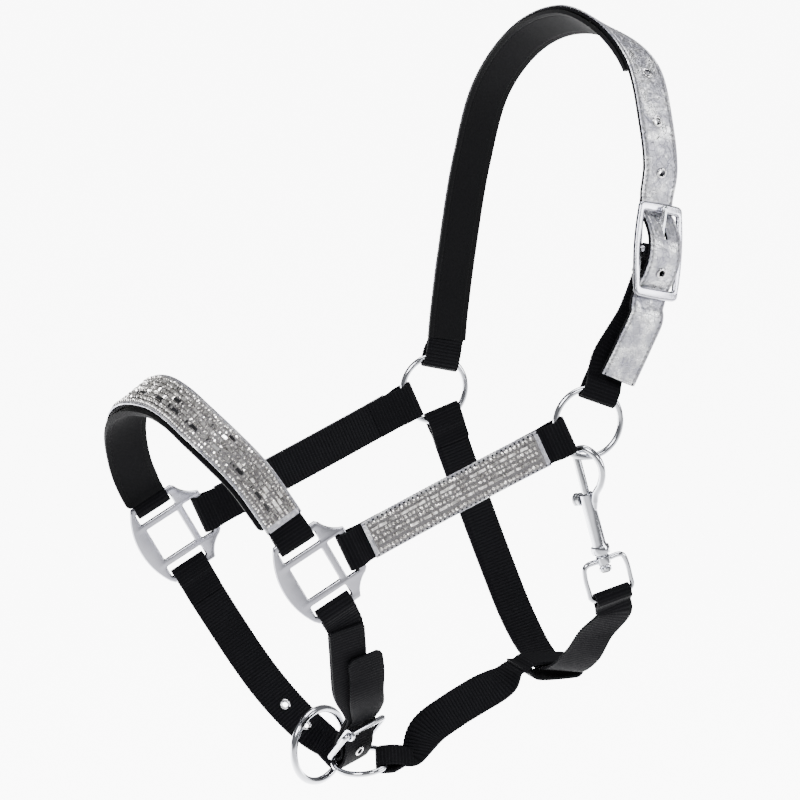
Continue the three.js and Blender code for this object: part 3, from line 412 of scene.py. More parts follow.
def felt(name, half_width):
    look = Finish(name, sheen_weight=0.02, sheen_roughness=0.6, specular_ior_level=0.12)
    along, across = look.along_across()
    nap = look.noise(1500, 4, 0.65)
    seam = across.maths("ABSOLUTE").above(half_width - 3.4 * MM, 0.5 * MM)
    sunk = 1 - (across.maths("ABSOLUTE") - (half_width - 3.2 * MM)).maths("ABSOLUTE").above(0.5 * MM,
                                                                                            0.4 * MM)
    stitch = along.wave(3.2 * MM).above(0.35, 0.15)
    look.bump(nap * 0.35 - sunk * (0.5 + stitch * 0.6) + look.noise(120, 3) * 0.5, 0.3 * MM)
    look.colour(look.mix(nap * 0.6 + look.noise(40, 3) * 0.3, (0.0008, 0.0008, 0.0011, 1),
                         (0.004, 0.004, 0.005, 1)))
    look.rough(0.97 - seam * 0.08)
    return look.material


lining_run = [*over_nose[:-1], (FAR_SQUARE + RISE * (OUTER_BAR + 11 * MM) - FAR_SIDE * 2 * MM, REAR),
              (FAR_SQUARE + RISE * (OUTER_BAR + 4 * MM) - FAR_SIDE * 3.3 * MM, REAR)]
lining_line = StrapLine(lining_run)
strap_piece("noseband_pad", lining_line, felt("nose_felt", NOSE_LINING_WIDTH / 2),
            ["noseband_lining"],
            width=NOSE_LINING_WIDTH, thick=4.2 * MM, height=WEB_THICK / 2 + LAYER_GAP + 2.2 * MM, ribs=0,
            start=4 * MM, shift=-2 * MM, every=4, across=16, edge=1.3 * MM, edge_steps=4, corner=3 * MM)

# ---- Noseband overlay ---------------------------------------------------------------------
# Crinkled silver foil on faux leather, sewn to the outside of the noseband all the way round
# its border. It frames the field of stones.
NOSE_OVERLAY_WIDTH = 27 * MM
OVERLAY_THICK = 1.2 * MM
STITCH_PITCH = 3.3 * MM
NOSE_SEAM = 12.2 * MM             # from the middle of the strap to a row of stitching


def silver_foil(name, row):
    """Thin metal foil: fine crinkles, a few sharp folds, and small dull patches, with painted shade along
    the folds, in the seam grooves and in the stitch holes.
    """
    look = Finish(name, metallic=1.0)
    lightness = 0.88
    where = look.node("UVMap", {"uv_map": "strap"}, {})
    bent = look.noise(150, 3, 0.55)
    folds = look.noise(420, 4, 0.6, where=where, stretch=(1.0, 0.45, 1))
    cells = look.node("TexVoronoi", {"feature": "DISTANCE_TO_EDGE"},
                      {"Vector": where, "Scale": 230, "Randomness": 1})
    grain = look.noise(3200, 2, 0.5)
    sharp = 1 - cells.above(0.03, 0.03)
    along, across = look.along_across()
    sewn = 1 - (across.maths("ABSOLUTE") - row).maths("ABSOLUTE").above(0.9 * MM, 0.8 * MM)
    look.bump(bent * 2.2 + folds * 1.3 + sharp * 0.3 + grain * 0.12 - sewn * 0.9, 0.6 * MM)
    dull = look.noise(85, 5, 0.65).above(0.47, 0.1)
    # Painted shade along each seam: a darker band in the groove and dark dots in the stitch holes.
    beside = 1 - (across.maths("ABSOLUTE") - row).maths("ABSOLUTE").above(0.6 * MM, 0.25 * MM)
    stitch_hole_shade = beside * (along + STITCH_PITCH / 4).wave(STITCH_PITCH).above(0.72, 0.14)
    # The sharp folds darken the colour as painted shade; the dull patches are random tone.
    plain = look.mix(dull * 0.75 + sharp * 0.3, (lightness, lightness, lightness * 1.01, 1),
                     (0.3, 0.3, 0.36, 1))
    look.colour(look.mix(stitch_hole_shade + beside * 0.4, plain, (0.015, 0.015, 0.02, 1)))
    look.rough(0.2 + dull * 0.16 + grain * 0.1 + beside * 0.2)
    return look.material


overlay_height = -(WEB_THICK / 2 + LAYER_GAP + OVERLAY_THICK / 2)
strap_piece("noseband_foil", nose_line, silver_foil("nose_foil", NOSE_SEAM), ["noseband_overlay"],
            width=NOSE_OVERLAY_WIDTH,
            thick=OVERLAY_THICK, height=overlay_height, ribs=0, start=nose_start, end=nose_end, every=3,
            across=14, edge=0.45 * MM, edge_steps=3, crease=0.1 * MM)

def smooth_faces(mesh):
    for face in mesh.faces:
        face.smooth = True


thread_look = Finish("silver_thread", sheen_weight=0.1)
twist = thread_look.noise(3000, 2)
thread_look.colour(thread_look.mix(twist, (0.3, 0.3, 0.32, 1), (0.55, 0.55, 0.57, 1)))
thread_look.rough(0.5 + twist * 0.2)
thread_look.bump(twist, 0.1 * MM)
THREAD = thread_look.material


def stitch_row(name, line, rows, height, start, end, ends=()):
    """Stitches: short plump lengths of thread that dip into the material at both ends."""
    mesh = bmesh.new()
    places = []
    for across in rows:
        count = int((end - start) / STITCH_PITCH)
        places += [(start + (k + 0.5) * STITCH_PITCH, across, 0) for k in range(count)]
    for at, reach in ends:
        count = int(2 * reach / STITCH_PITCH)
        places += [(at, -reach + (k + 0.5) * 2 * reach / count, 1) for k in range(count)]
    for along, across, turned in places:
        spin = Matrix.Rotation(math.pi / 2 * turned, 4, "Z")
        size = Matrix.Diagonal((0.38 * STITCH_PITCH, 0.36 * MM, 0.3 * MM, 1))
        bmesh.ops.create_icosphere(mesh, subdivisions=1, radius=1,
                                   matrix=line.frame(along, across, height) @ spin @ size)
    smooth_faces(mesh)
    return add_piece(name, mesh, THREAD)


nose_face = -(WEB_THICK / 2 + LAYER_GAP + OVERLAY_THICK)
stitch_row("noseband_stitching", nose_line, (-NOSE_SEAM, NOSE_SEAM), nose_face, nose_start + 2 * MM,
           nose_end - 2 * MM, ends=((nose_start + 1.6 * MM, 11.5 * MM), (nose_end - 1.6 * MM, 11.5 * MM)))

# ---- Noseband stones ----------------------------------------------------------------------
# Rows of small round stones and long baguette stones, each in a metal seat on a plated mesh
# backing. The baguettes are laid like bricks; some of them are dark.
stone_look = Finish("clear_stone", metallic=0.82, coat_weight=0.6, coat_roughness=0.03)
tint = stone_look.noise(380, 1)
stone_look.colour(stone_look.mix(tint.above(0.5, 0.2), (0.98, 0.96, 0.93, 1), (0.4, 0.385, 0.37, 1)))
stone_look.rough(0.06 + stone_look.noise(900, 1) * 0.1)
STONE = stone_look.material
dark_look = Finish("dark_stone", coat_weight=0.3, coat_roughness=0.05, specular_ior_level=0.3)
dark_look.colour(dark_look.mix(dark_look.noise(500, 1), (0.004, 0.004, 0.005, 1), (0.02, 0.02, 0.022, 1)))
dark_look.rough(0.08 + dark_look.noise(900, 1) * 0.06)
DARK_STONE = dark_look.material
# The seats are coloured near black as painted shade in the gaps between the stones, with random grain.
seat_look = Finish("stone_seats_painted_shade", metallic=1.0)
seat_grain = seat_look.noise(1800, 3)
seat_look.colour(seat_look.mix(seat_grain, (0.04, 0.038, 0.04, 1), (0.3, 0.29, 0.3, 1)))
seat_look.rough(0.3 + seat_grain * 0.25)
seat_look.bump(seat_grain, 0.4 * MM)
SHADED_SEATS = seat_look.material
SEAT_THICK = 0.5 * MM
STONE_TILT = 0.16                 # the most a stone leans in its seat, in radians
TABLE_SHARE = 0.74                # a long stone's flat top, as a share of its foot
DARK_SHARE = 0.1                  # of the long stones


def set_stones(name, line, rows, face, start, end, sign, seed):
    """Stones on a strap. A row is (across, width, cells); a cell is (kind, length)."""
    chance = random.Random(seed)
    mesh = bmesh.new()
    for across, wide, cells in rows:
        along, k = start, 0
        while along < end - 1.5 * MM:
            kind, long = cells[k % len(cells)]
            long = min(long, end - along)
            k += 1
            place = line.frame(along + long / 2, across, face) @ Matrix.Diagonal((1, 1, sign, 1))
            tilt = (Matrix.Rotation(chance.uniform(-STONE_TILT, STONE_TILT), 4, "X")
                    @ Matrix.Rotation(chance.uniform(-STONE_TILT, STONE_TILT), 4, "Y"))
            before = len(mesh.faces)
            if kind == "round":
                radius = min(wide, long) / 2 * 0.94
                turn = Matrix.Rotation(chance.uniform(0, 0.8), 4, "Z")
                bmesh.ops.create_cone(mesh, cap_ends=True, segments=8, radius1=radius, radius2=radius * 0.5,
                                      depth=0.95 * MM,
                                      matrix=place @ Matrix.Translation((0, 0, 0.62 * MM)) @ tilt @ turn)
            else:
                size = Matrix.Diagonal((long * 0.96, wide * 0.92, 1.0 * MM, 1))
                raised = place @ Matrix.Translation((0, 0, 0.5 * MM))
                made = bmesh.ops.create_cube(mesh, size=1, matrix=raised @ tilt @ size)
                middle = raised.translation
                out = (place.to_3x3() @ Vector((0, 0, 1))).normalized()
                for vert in made["verts"]:
                    rise = (vert.co - middle).dot(out)
                    if rise > 0:
                        inner = middle + out * rise
                        vert.co = inner + (vert.co - inner) * TABLE_SHARE + out * 0.1 * MM
            mesh.faces.ensure_lookup_table()
            dark = kind == "dark" or (kind == "long" and chance.random() < DARK_SHARE)
            for face_index in range(before, len(mesh.faces)):
                mesh.faces[face_index].material_index = 1 if dark else 0
            along += long
    if sign < 0:
        bmesh.ops.reverse_faces(mesh, faces=mesh.faces)
    bmesh.ops.recalc_face_normals(mesh, faces=mesh.faces)
    return add_piece(name, mesh, [STONE, DARK_STONE], keep_slots=True)


field_start = nose_start + 4 * MM
field_end = nose_end - 4 * MM
NOSE_FIELD = 23.4 * MM
seat_height = -(WEB_THICK / 2 + LAYER_GAP + OVERLAY_THICK + SEAT_THICK / 2)
strap_piece("noseband_seats", nose_line, SHADED_SEATS, ["noseband_crystal_strip"], width=NOSE_FIELD,
            thick=SEAT_THICK, height=seat_height, ribs=0, start=field_start, end=field_end, every=4,
            across=6,
            edge=0.1 * MM, edge_steps=1)
small, tall = 2.6 * MM, 2.8 * MM
pair = [("round", small)]
nose_rows = [
    (10.3 * MM, tall, pair),
    (7.5 * MM, tall, [("long", 6.2 * MM), ("round", small), ("round", small)]),
    (4.7 * MM, tall, [("round", small), ("round", small), ("round", small), ("long", 5.4 * MM)]),
    (1.6 * MM, 3.3 * MM, [("round", small), ("long", 6.6 * MM), ("long", 5.0 * MM), ("round", small)]),
    (-1.4 * MM, tall, [("round", small), ("round", small), ("long", 4.6 * MM), ("round", small)]),
    (-4.3 * MM, 2.9 * MM, [("dark", 7.2 * MM), ("round", small)]),
    (-7.3 * MM, tall, pair),
    (-10.3 * MM, tall, [("round", small * 0.96)]),
]
set_stones("noseband_stones", nose_line, nose_rows, seat_height - SEAT_THICK / 2, field_start, field_end,
           -1, 7)

# ---- Cheek rings --------------------------------------------------------------------------
# Two welded rings of round steel wire, polished and plated. The cheekpiece, the crownpiece and
# the throat strap loop round them, so each can turn in its loops.
plating = Finish("bright_plating", metallic=1.0)
flow = plating.noise(45, 2)
speck = plating.noise(700, 3)
plating.colour(plating.mix(flow, (0.72, 0.73, 0.76, 1), (0.52, 0.53, 0.58, 1)))
plating.rough(0.07 + speck * 0.08 + flow * 0.05)
plating.bump(flow + speck * 0.04, 0.25 * MM)
PLATED = plating.material


def wire_ring(name, body, replaced, centre, axis, radius, wire):
    side, up, _ = right_angled(axis, (0, 0, 1))
    mesh = bmesh.new()
    section = bmesh.ops.create_circle(mesh, segments=18, radius=wire,
                                      matrix=Matrix.Translation(Vector((radius, 0, 0)))
                                      @ Matrix.Rotation(math.pi / 2, 4, "X"))
    bmesh.ops.spin(mesh, geom=section["verts"] + mesh.edges[:], cent=(0, 0, 0), axis=(0, 0, 1),
                   angle=2 * math.pi, steps=84, use_merge=True)
    bmesh.ops.remove_doubles(mesh, verts=mesh.verts, dist=1e-6)
    bmesh.ops.recalc_face_normals(mesh, faces=mesh.faces)
    turn = Matrix((side.cross(up), up, side)).transposed().to_4x4()
    bmesh.ops.transform(mesh, matrix=Matrix.Translation(centre) @ turn, verts=mesh.verts)
    smooth_faces(mesh)
    return add_piece(name, mesh, PLATED, body, [replaced])


RING_RADIUS = 22.9 * MM
RING_WIRE = 2.1 * MM
NEAR_RING = spot(-19, -80, -258)
FAR_RING = spot(-73, 76, -258)
wire_ring("near_ring_wire", "near_ring", "near_cheek_ring", NEAR_RING, NEAR_SIDE, RING_RADIUS, RING_WIRE)
wire_ring("far_ring_wire", "far_ring", "far_cheek_ring", FAR_RING, NEAR_SIDE, RING_RADIUS, RING_WIRE)

# ---- Halter squares -----------------------------------------------------------------------
# Two castings, tumbled and plated: a square opening with a strap slot on three of its sides
# and a wide rounded bow on the fourth. The straps' loops hold them.
cast = Finish("plated_casting", metallic=1.0)
skin = cast.noise(30, 3)
pits = cast.noise(900, 3)
cast.colour(cast.mix(skin, (0.62, 0.62, 0.67, 1), (0.4, 0.4, 0.46, 1)))
cast.rough(0.17 + skin * 0.1 + pits * 0.06)
cast.bump(skin + pits * 0.05, 0.5 * MM)
CASTING = cast.material
# Painted shade: a near-black finish for the slot walls and outer edges of the castings and eyelets.
walls = Finish("cast_walls_painted_shade", metallic=1.0)
wall_grain = walls.noise(500, 3)
walls.colour(walls.mix(wall_grain, (0.03, 0.03, 0.035, 1), (0.11, 0.11, 0.12, 1)))
walls.rough(0.3 + wall_grain * 0.2)
SHADED_WALLS = walls.material


def bezier(a, b, c, steps=10):
    """Points of a curve from a to c that leans towards b, without its last point."""
    return [((1 - t) ** 2 * a[0] + 2 * t * (1 - t) * b[0] + t * t * c[0],
             (1 - t) ** 2 * a[1] + 2 * t * (1 - t) * b[1] + t * t * c[1])
            for t in (k / steps for k in range(steps))]


def rounded(x0, x1, y0, y1, r, steps=6):
    """Points round a rectangle with rounded corners."""
    out = []
    for cx, cy, quarter in ((x1 - r, y1 - r, 0), (x0 + r, y1 - r, 1), (x0 + r, y0 + r, 2),
                            (x1 - r, y0 + r, 3)):
        for k in range(steps + 1):
            angle = math.pi / 2 * (quarter + k / steps)
            out.append((cx + r * math.cos(angle), cy + r * math.sin(angle)))
    return out


def cast_plate(loops, thick, soften, turn):
    """A plate in the shape of flat loops, outline first, with rounded edges; a bmesh."""
    flat = bpy.data.curves.new("plate", "CURVE")
    flat.dimensions = "2D"
    flat.fill_mode = "BOTH"
    flat.extrude = (thick / 2 - soften) * MM
    flat.bevel_depth = soften * MM
    flat.bevel_resolution = 3
    flat.offset = -soften * MM
    for loop in loops:
        spline = flat.splines.new("POLY")
        spline.points.add(len(loop) - 1)
        for point, (x, y) in zip(spline.points, loop):
            point.co = (x * MM, y * MM, 0, 1)
        spline.use_cyclic_u = True
    holder = bpy.data.objects.new("plate", flat)
    bpy.context.scene.collection.objects.link(holder)
    made = bpy.data.meshes.new_from_object(holder.evaluated_get(bpy.context.evaluated_depsgraph_get()))
    bpy.data.objects.remove(holder)
    mesh = bmesh.new()
    mesh.from_mesh(made)
    bpy.data.meshes.remove(made)
    bmesh.ops.remove_doubles(mesh, verts=mesh.verts, dist=1e-6)
    bmesh.ops.recalc_face_normals(mesh, faces=mesh.faces)
    bmesh.ops.transform(mesh, matrix=turn, verts=mesh.verts)
    mesh.normal_update()
    facing = turn.to_3x3() @ Vector((0, 0, 1))
    for face in mesh.faces:
        face.smooth = True
        # Faces turned away from the plate's front get the painted-shade finish.
        face.material_index = 1 if abs(face.normal.dot(facing)) < 0.45 else 0
    for edge in mesh.edges:
        if len(edge.link_faces) == 2 and edge.calc_face_angle() > math.radians(38):
            edge.smooth = False
    return mesh


SQUARE_TIP, SQUARE_EDGE = 31.5, 30
square_outline = [
    *bezier((-15, SQUARE_EDGE), (-24, 16), (-24, 0)), *bezier((-24, 0), (-24, -16), (-15, -SQUARE_EDGE)),
    (-14, -SQUARE_EDGE - 0.3), (17, -SQUARE_EDGE - 0.3),
    *bezier((18.5, -SQUARE_EDGE), (21.5, -20.5), (SQUARE_TIP, -16.5)),
    (SQUARE_TIP + 0.2, -15), (SQUARE_TIP + 0.2, 15),
    *bezier((SQUARE_TIP, 16.5), (21.5, 20.5), (18.5, SQUARE_EDGE)),
    (17, SQUARE_EDGE + 0.3), (-14, SQUARE_EDGE + 0.3),
]
square_holes = [
    rounded(-12.3, 12.3, -12.3, 12.3, 1.0), rounded(-13.8, 13.8, 17.2, 25.6, 1.4),
    rounded(-13.8, 13.8, -25.6, -17.2, 1.4), rounded(17.2, 26.4, -13.8, 13.8, 1.4),
]
for side, centre in (("near", NEAR_SQUARE), ("far", FAR_SQUARE)):
    facing = Matrix((REAR, RISE, NEAR_SIDE)).transposed().to_4x4()
    add_piece(f"{side}_square_casting",
              cast_plate([square_outline, *square_holes], 3.6, 1.15, Matrix.Translation(centre) @ facing),
              [CASTING, SHADED_WALLS], replaced=[f"{side}_halter_square"], keep_slots=True)

# ---- Cheekpieces --------------------------------------------------------------------------
# Webbing from each halter square back to the cheek ring, looped round both, with a foil
# overlay on the outside that carries six rows of stones.
RING_BEND = bend_round(RING_WIRE / MM)
RING_REACH = 4.6
CHEEK_OVERLAY = 26 * MM
CHEEK_SEAM = 11.6 * MM
cheek_rows = [
    (9.5 * MM, 3.1 * MM, [("round", 3.0 * MM)]),
    (6.1 * MM, 2.6 * MM, [("long", 6.6 * MM), ("long", 6.6 * MM), ("long", 6.6 * MM), ("round", 2.6 * MM)]),
    (2.6 * MM, 3.1 * MM, [("round", 3.0 * MM)]),
    (-0.8 * MM, 3.1 * MM, [("round", 3.0 * MM)]),
    (-4.3 * MM, 2.6 * MM, [("long", 4.6 * MM), ("long", 6.8 * MM), ("round", 2.6 * MM),
                           ("long", 6.8 * MM)]),
    (-8.9 * MM, 3.1 * MM, [("round", 3.0 * MM)]),
]
for side, square, hoop, out, seed in (("near", NEAR_SQUARE, NEAR_RING, NEAR_SIDE, 3),
                                      ("far", FAR_SQUARE, FAR_RING, FAR_SIDE, 5)):
    begin = square + REAR * (OUTER_BAR + 0.9 * MM)
    level = hoop - begin
    level.y = 0
    finish_at = hoop - level.normalized() * RING_RADIUS
    away = (finish_at - begin).normalized()
    width = away.cross(out).normalized()
    outward = width.cross(away).normalized()
    outward *= 1 if outward.dot(out) > 0 else -1
    cheek_line = StrapLine([
        *wrapped(begin, away, outward, width, SQUARE_FOLD, reach=2),
        *wrapped(finish_at, -away, outward, width, RING_BEND, reach=RING_REACH)[::-1],
    ])
    strap_piece(f"{side}_cheek_strap", cheek_line, NYLON, [f"{side}_cheek_webbing"])
    sign = 1 if cheek_line.normals[cheek_line.count // 2].dot(outward) > 0 else -1
    middle = cheek_line.nearest((begin + finish_at) / 2)
    low = middle - ((finish_at - begin).length / 2 - 12 * MM)
    high = middle + ((finish_at - begin).length / 2 - 11 * MM)
    strap_piece(f"{side}_cheek_foil", cheek_line, silver_foil(f"{side}_cheek_foil", CHEEK_SEAM),
                [f"{side}_cheek_overlay"], width=CHEEK_OVERLAY,
                thick=OVERLAY_THICK, height=sign * (WEB_THICK / 2 + CLEAR + OVERLAY_THICK / 2), ribs=0,
                start=low, end=high, every=3, across=14, edge=0.45 * MM, edge_steps=3, crease=0.08 * MM)
    top = WEB_THICK / 2 + CLEAR + OVERLAY_THICK
    stitch_row(f"{side}_cheek_stitching", cheek_line, (-CHEEK_SEAM, CHEEK_SEAM), sign * top, low + 2 * MM,
               high - 2 * MM,
               ends=((low + 1.5 * MM, 11 * MM), (high - 1.5 * MM, 11 * MM)))
    strap_piece(f"{side}_cheek_seats", cheek_line, SHADED_SEATS, [f"{side}_cheek_crystal_strip"],
                width=22.2 * MM,
                thick=SEAT_THICK, height=sign * (top + SEAT_THICK / 2), ribs=0, start=low + 3 * MM,
                end=high - 3 * MM,
                every=4, across=6, edge=0.1 * MM, edge_steps=1)
    set_stones(f"{side}_cheek_stones", cheek_line, [(a * sign, w, cells) for a, w, cells in cheek_rows],
               sign * (top + SEAT_THICK), low + 3.5 * MM, high - 3.5 * MM, sign, seed)

# ---- Crownpiece ---------------------------------------------------------------------------
# Webbing from the far ring over the poll and down through the buckle, faced with crinkled
# silver foil that has a row of stitching along each edge. A soft black lining inside it ends
# on the near side of the poll, above the first eyelet.
BUCKLE = spot(27, -84, -146)
BUCKLE_A, BUCKLE_W, _ = right_angled((0.15, 0.25, 0.955), (0.93, 0.24, -0.25))
BUCKLE_N = BUCKLE_W.cross(BUCKLE_A)
BUCKLE_THICK = 3.6
BUCKLE_BAR = 1.8                  # the round bar across its middle
UNDER_BAR = -(BUCKLE_THICK / 2 + 0.7 + 3.2)


def in_buckle(along, out):
    return BUCKLE + BUCKLE_A * (along * MM) + BUCKLE_N * (out * MM)


crown_away = Vector((0.22, 0, 0.975)).normalized()
crown_width = crown_away.cross(FAR_SIDE).normalized()
crown_turn = 1 if crown_width.x > 0 else -1
crown_loop = [(p, w * crown_turn) for p, w in wrapped(FAR_RING + crown_away * RING_RADIUS, crown_away,
                                                      FAR_SIDE,
                                                     crown_width, RING_BEND, reach=RING_REACH, fold=16)]
over_poll = laid([
    (-65.5, 76.3, -226, 0.98, 0, -0.2), (-63, 77, -205, 0.98, 0.02, -0.16),
    (-57, 78, -162, 0.99, 0.03, -0.14),
    (-47, 76, -99, 0.98, 0, -0.17), (-36, 65, -47, 0.95, 0.05, -0.3), (-19, 38, -12, 0.88, 0, -0.45),
    (-2, 0, 1.5, 0.85, 0, -0.5), (14, -32, -7, 0.87, 0, -0.45), (25, -58, -28, 0.93, 0.1, -0.3),
    (29, -72, -64, 0.96, 0.15, -0.2), (31, -75.5, -92, 0.94, 0.2, -0.22),
])
through_buckle = [(in_buckle(a, o), BUCKLE_W.copy()) for a, o in (
    (37, UNDER_BAR + 0.6), (31, UNDER_BAR), (25, UNDER_BAR + 0.5), (19, -0.6), (13, 3.2), (7, 5.6),
    (0, 6.4),
    (-7, 5.6), (-13, 3.2), (-19, -0.6), (-25, UNDER_BAR + 0.5))]
through_buckle += [(in_buckle(a, o) + BUCKLE_W * (aside * MM), BUCKLE_W.copy()) for a, o, aside in (
    (-31, UNDER_BAR, -1.5), (-37, UNDER_BAR + 0.6, -3.5))]
tail = laid([(16, -91.5, -187, 0.94, 0.12, -0.31), (9, -90, -204, 0.93, 0.08, -0.34),
             (-2, -87, -229, 0.92, 0.04, -0.37)])
crown_line = StrapLine([*crown_loop[:-1], *over_poll, *through_buckle, *tail])
eyelets = []
for number in (1, 2, 3, 4):
    low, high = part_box(f"crown_eyelet_{number}")
    eyelets.append(crown_line.nearest((Vector(low) + Vector(high)) / 2))
tongue_at = crown_line.nearest(in_buckle(13, 3.2))
crown_holes = [(at, 2.5 * MM, 2.5 * MM) for at in eyelets] + [(tongue_at, 7.5 * MM, 2.3 * MM)]
crown_start = crown_line.nearest(over_poll[0][0]) + 3 * MM
strap_piece("crown_strap", crown_line, NYLON, ["crown_webbing"], across=18, holes=crown_holes)
CROWN_FOIL_WIDTH = 24.8 * MM
CROWN_FOIL_THICK = 1.0 * MM
CROWN_SEAM = 10.6 * MM
CROWN_PAD_WIDTH = 27 * MM
CROWN_FACE = WEB_THICK / 2 + LAYER_GAP + CROWN_FOIL_THICK
strap_piece("crown_foil", crown_line, silver_foil("crown_foil", CROWN_SEAM), ["crown_overlay"],
            width=CROWN_FOIL_WIDTH, thick=CROWN_FOIL_THICK,
            height=WEB_THICK / 2 + LAYER_GAP + CROWN_FOIL_THICK / 2, ribs=0, start=crown_start, every=2,
            across=24,
            edge=0.4 * MM, edge_steps=3, crease=0.14 * MM, holes=crown_holes)
stitch_row("crown_stitching", crown_line, (-CROWN_SEAM, CROWN_SEAM), CROWN_FACE - 0.05 * MM,
           crown_start + 2 * MM,
           crown_line.length - 2 * MM, ends=((crown_line.length - 2 * MM, 10 * MM),))
strap_piece("crown_pad", crown_line, felt("crown_felt", CROWN_PAD_WIDTH / 2), ["crown_lining"],
            width=CROWN_PAD_WIDTH,
            thick=2.7 * MM, height=-(WEB_THICK / 2 + LAYER_GAP + 1.5 * MM), ribs=0, start=crown_start,
            end=crown_line.nearest(spot(25, -58, -28)), every=4, across=24, edge=1.0 * MM, edge_steps=4)

# ---- Eyelets ------------------------------------------------------------------------------
# Plated brass eyelets pressed through the crownpiece and the chin strap: a rounded flange, a
# short tube, and a washer behind. Four are in the crownpiece and three in the chin strap.
rim = Finish("eyelet_plating", metallic=1.0)
rim_wear = rim.noise(900, 3)
rim.colour(rim.mix(rim_wear, (0.8, 0.79, 0.8, 1), (0.6, 0.59, 0.6, 1)))
rim.rough(0.14 + rim_wear * 0.1)
RIM = rim.material


def eyelet(name, line, at, face, back, sign):
    mesh = bmesh.new()
    hole, flange, tube = 2.0, 3.8, 2.4
    profile = [(hole, back), (hole, face + 0.2), (hole + 0.25, face + 0.55), (hole + 0.8, face + 0.72),
               (flange - 0.7, face + 0.62), (flange - 0.15, face + 0.32), (flange, face), (tube, face),
               (tube, back + 0.1), (flange - 0.5, back + 0.1), (flange - 0.5, back - 0.3),
               (hole + 0.3, back - 0.35),
               (hole, back)]
    verts = [mesh.verts.new((x * MM, 0, z * MM)) for x, z in profile[:-1]]
    edges = [mesh.edges.new((a, b)) for a, b in zip(verts, verts[1:] + verts[:1])]
    bmesh.ops.spin(mesh, geom=verts + edges, cent=(0, 0, 0), axis=(0, 0, 1), angle=2 * math.pi, steps=28,
                   use_merge=True)
    bmesh.ops.remove_doubles(mesh, verts=mesh.verts, dist=1e-6)
    bmesh.ops.recalc_face_normals(mesh, faces=mesh.faces)
    for f in mesh.faces:
        f.smooth = True
        reach = Vector(f.calc_center_median().xy).length
        # The bore and the flange's outermost edge get the painted-shade finish: painted shade in the hole
        # and a painted shadow ring round the flange.
        f.material_index = 1 if reach < (hole + 0.2) * MM or reach > (flange - 0.12) * MM else 0
    flip = Matrix.Rotation(math.pi, 4, "X") if sign < 0 else Matrix()
    bmesh.ops.transform(mesh, matrix=line.frame(at, 0, 0) @ flip, verts=mesh.verts)
    return add_piece(name, mesh, [RIM, SHADED_WALLS], replaced=[name.replace("_ring", "")],
                     keep_slots=True)


for number, at in enumerate(eyelets, 1):
    eyelet(f"crown_eyelet_ring_{number}", crown_line, at, 2.78, -1.1, 1)

# ---- Crown buckle -------------------------------------------------------------------------
# A heavy cast buckle with broad flat end bars and bowed sides, and a bar across its middle for
# the strap below. Its tongue is formed round that bar and rests on the top bar.
bow = 1.9
buckle_outline = [
    *bezier((18, 26), (18.3, 31.5), (13, 31.5), 8), *bezier((13, 31.5), (0, 32.3), (-13, 31.5), 8),
    *bezier((-13, 31.5), (-18.3, 31.5), (-18, 26), 8),
    *bezier((-18, 26), (-18 - 2 * bow, 0), (-18, -26), 12),
    *bezier((-18, -26), (-18.3, -31.5), (-13, -31.5), 8), *bezier((-13, -31.5), (0, -32.3), (13, -31.5), 8),
    *bezier((13, -31.5), (18.3, -31.5), (18, -26), 8), *bezier((18, -26), (18 + 2 * bow, 0), (18, 26), 12),
]
buckle_hole = [
    *bezier((13.8, 23.5), (13.8, 25), (12, 25), 4), *bezier((12, 25), (0, 25), (-12, 25), 4),
    *bezier((-12, 25), (-13.8, 25), (-13.8, 23.5), 4),
    *bezier((-13.8, 23.5), (-14.4, 0), (-13.8, -23.5), 8),
    *bezier((-13.8, -23.5), (-13.8, -25), (-12, -25), 4), *bezier((-12, -25), (0, -25), (12, -25), 4),
    *bezier((12, -25), (13.8, -25), (13.8, -23.5), 4), *bezier((13.8, -23.5), (14.4, 0), (13.8, 23.5), 8),
]
in_frame = Matrix.Translation(BUCKLE) @ Matrix((BUCKLE_W, BUCKLE_A, BUCKLE_N)).transposed().to_4x4()
buckle_mesh = cast_plate([buckle_outline, buckle_hole], BUCKLE_THICK, 1.6, in_frame)
bmesh.ops.create_cone(buckle_mesh, cap_ends=True, segments=20, radius1=BUCKLE_BAR * MM,
                      radius2=BUCKLE_BAR * MM, depth=32 * MM,
                      matrix=in_frame @ Matrix.Rotation(math.pi / 2, 4, "Y"))
smooth_faces(buckle_mesh)
add_piece("crown_buckle_casting", buckle_mesh, [CASTING, SHADED_WALLS], replaced=["crown_buckle_frame"],
          keep_slots=True)


def wire_sweep(points, radii, sides=16, closed=False, per_span=6):
    """Round wire along a smooth curve, its radius changing from end to end; a bmesh."""
    route = curve_through(points, per_span)
    if closed:
        route = route[:-1]
    mesh = bmesh.new()
    count = len(route)
    side = None
    rings = []
    for k, point in enumerate(route):
        ahead = route[(k + 1) % count] if closed else route[min(k + 1, count - 1)]
        behind = route[k - 1] if closed or k else route[0]
        run = (ahead - behind).normalized()
        if side is None:
            side = run.orthogonal().normalized()
        side = (side - run * side.dot(run)).normalized()
        share = k / (count - 1) * (len(radii) - 1)
        low = min(int(share), len(radii) - 2) if len(radii) > 1 else 0
        radius = radii[0] if len(radii) == 1 else radii[low] + (radii[low + 1] - radii[low]) * (share - low)
        turn = Matrix((side, run.cross(side), run)).transposed().to_4x4()
        made = bmesh.ops.create_circle(mesh, segments=sides, radius=radius * MM,
                                       matrix=Matrix.Translation(point) @ turn)
        rings.append(made["verts"])
    for a, b in zip(rings, rings[1:] + (rings[:1] if closed else [])):
        ring_edges = [e for v in a + b for e in v.link_edges
                      if (e.verts[0] in a and e.verts[1] in a) or (e.verts[0] in b and e.verts[1] in b)]
        bmesh.ops.bridge_loops(mesh, edges=list(dict.fromkeys(ring_edges)))
    if not closed:
        for ring in (rings[0], rings[-1]):
            mesh.faces.new(ring)
    bmesh.ops.recalc_face_normals(mesh, faces=mesh.faces)
    smooth_faces(mesh)
    return mesh


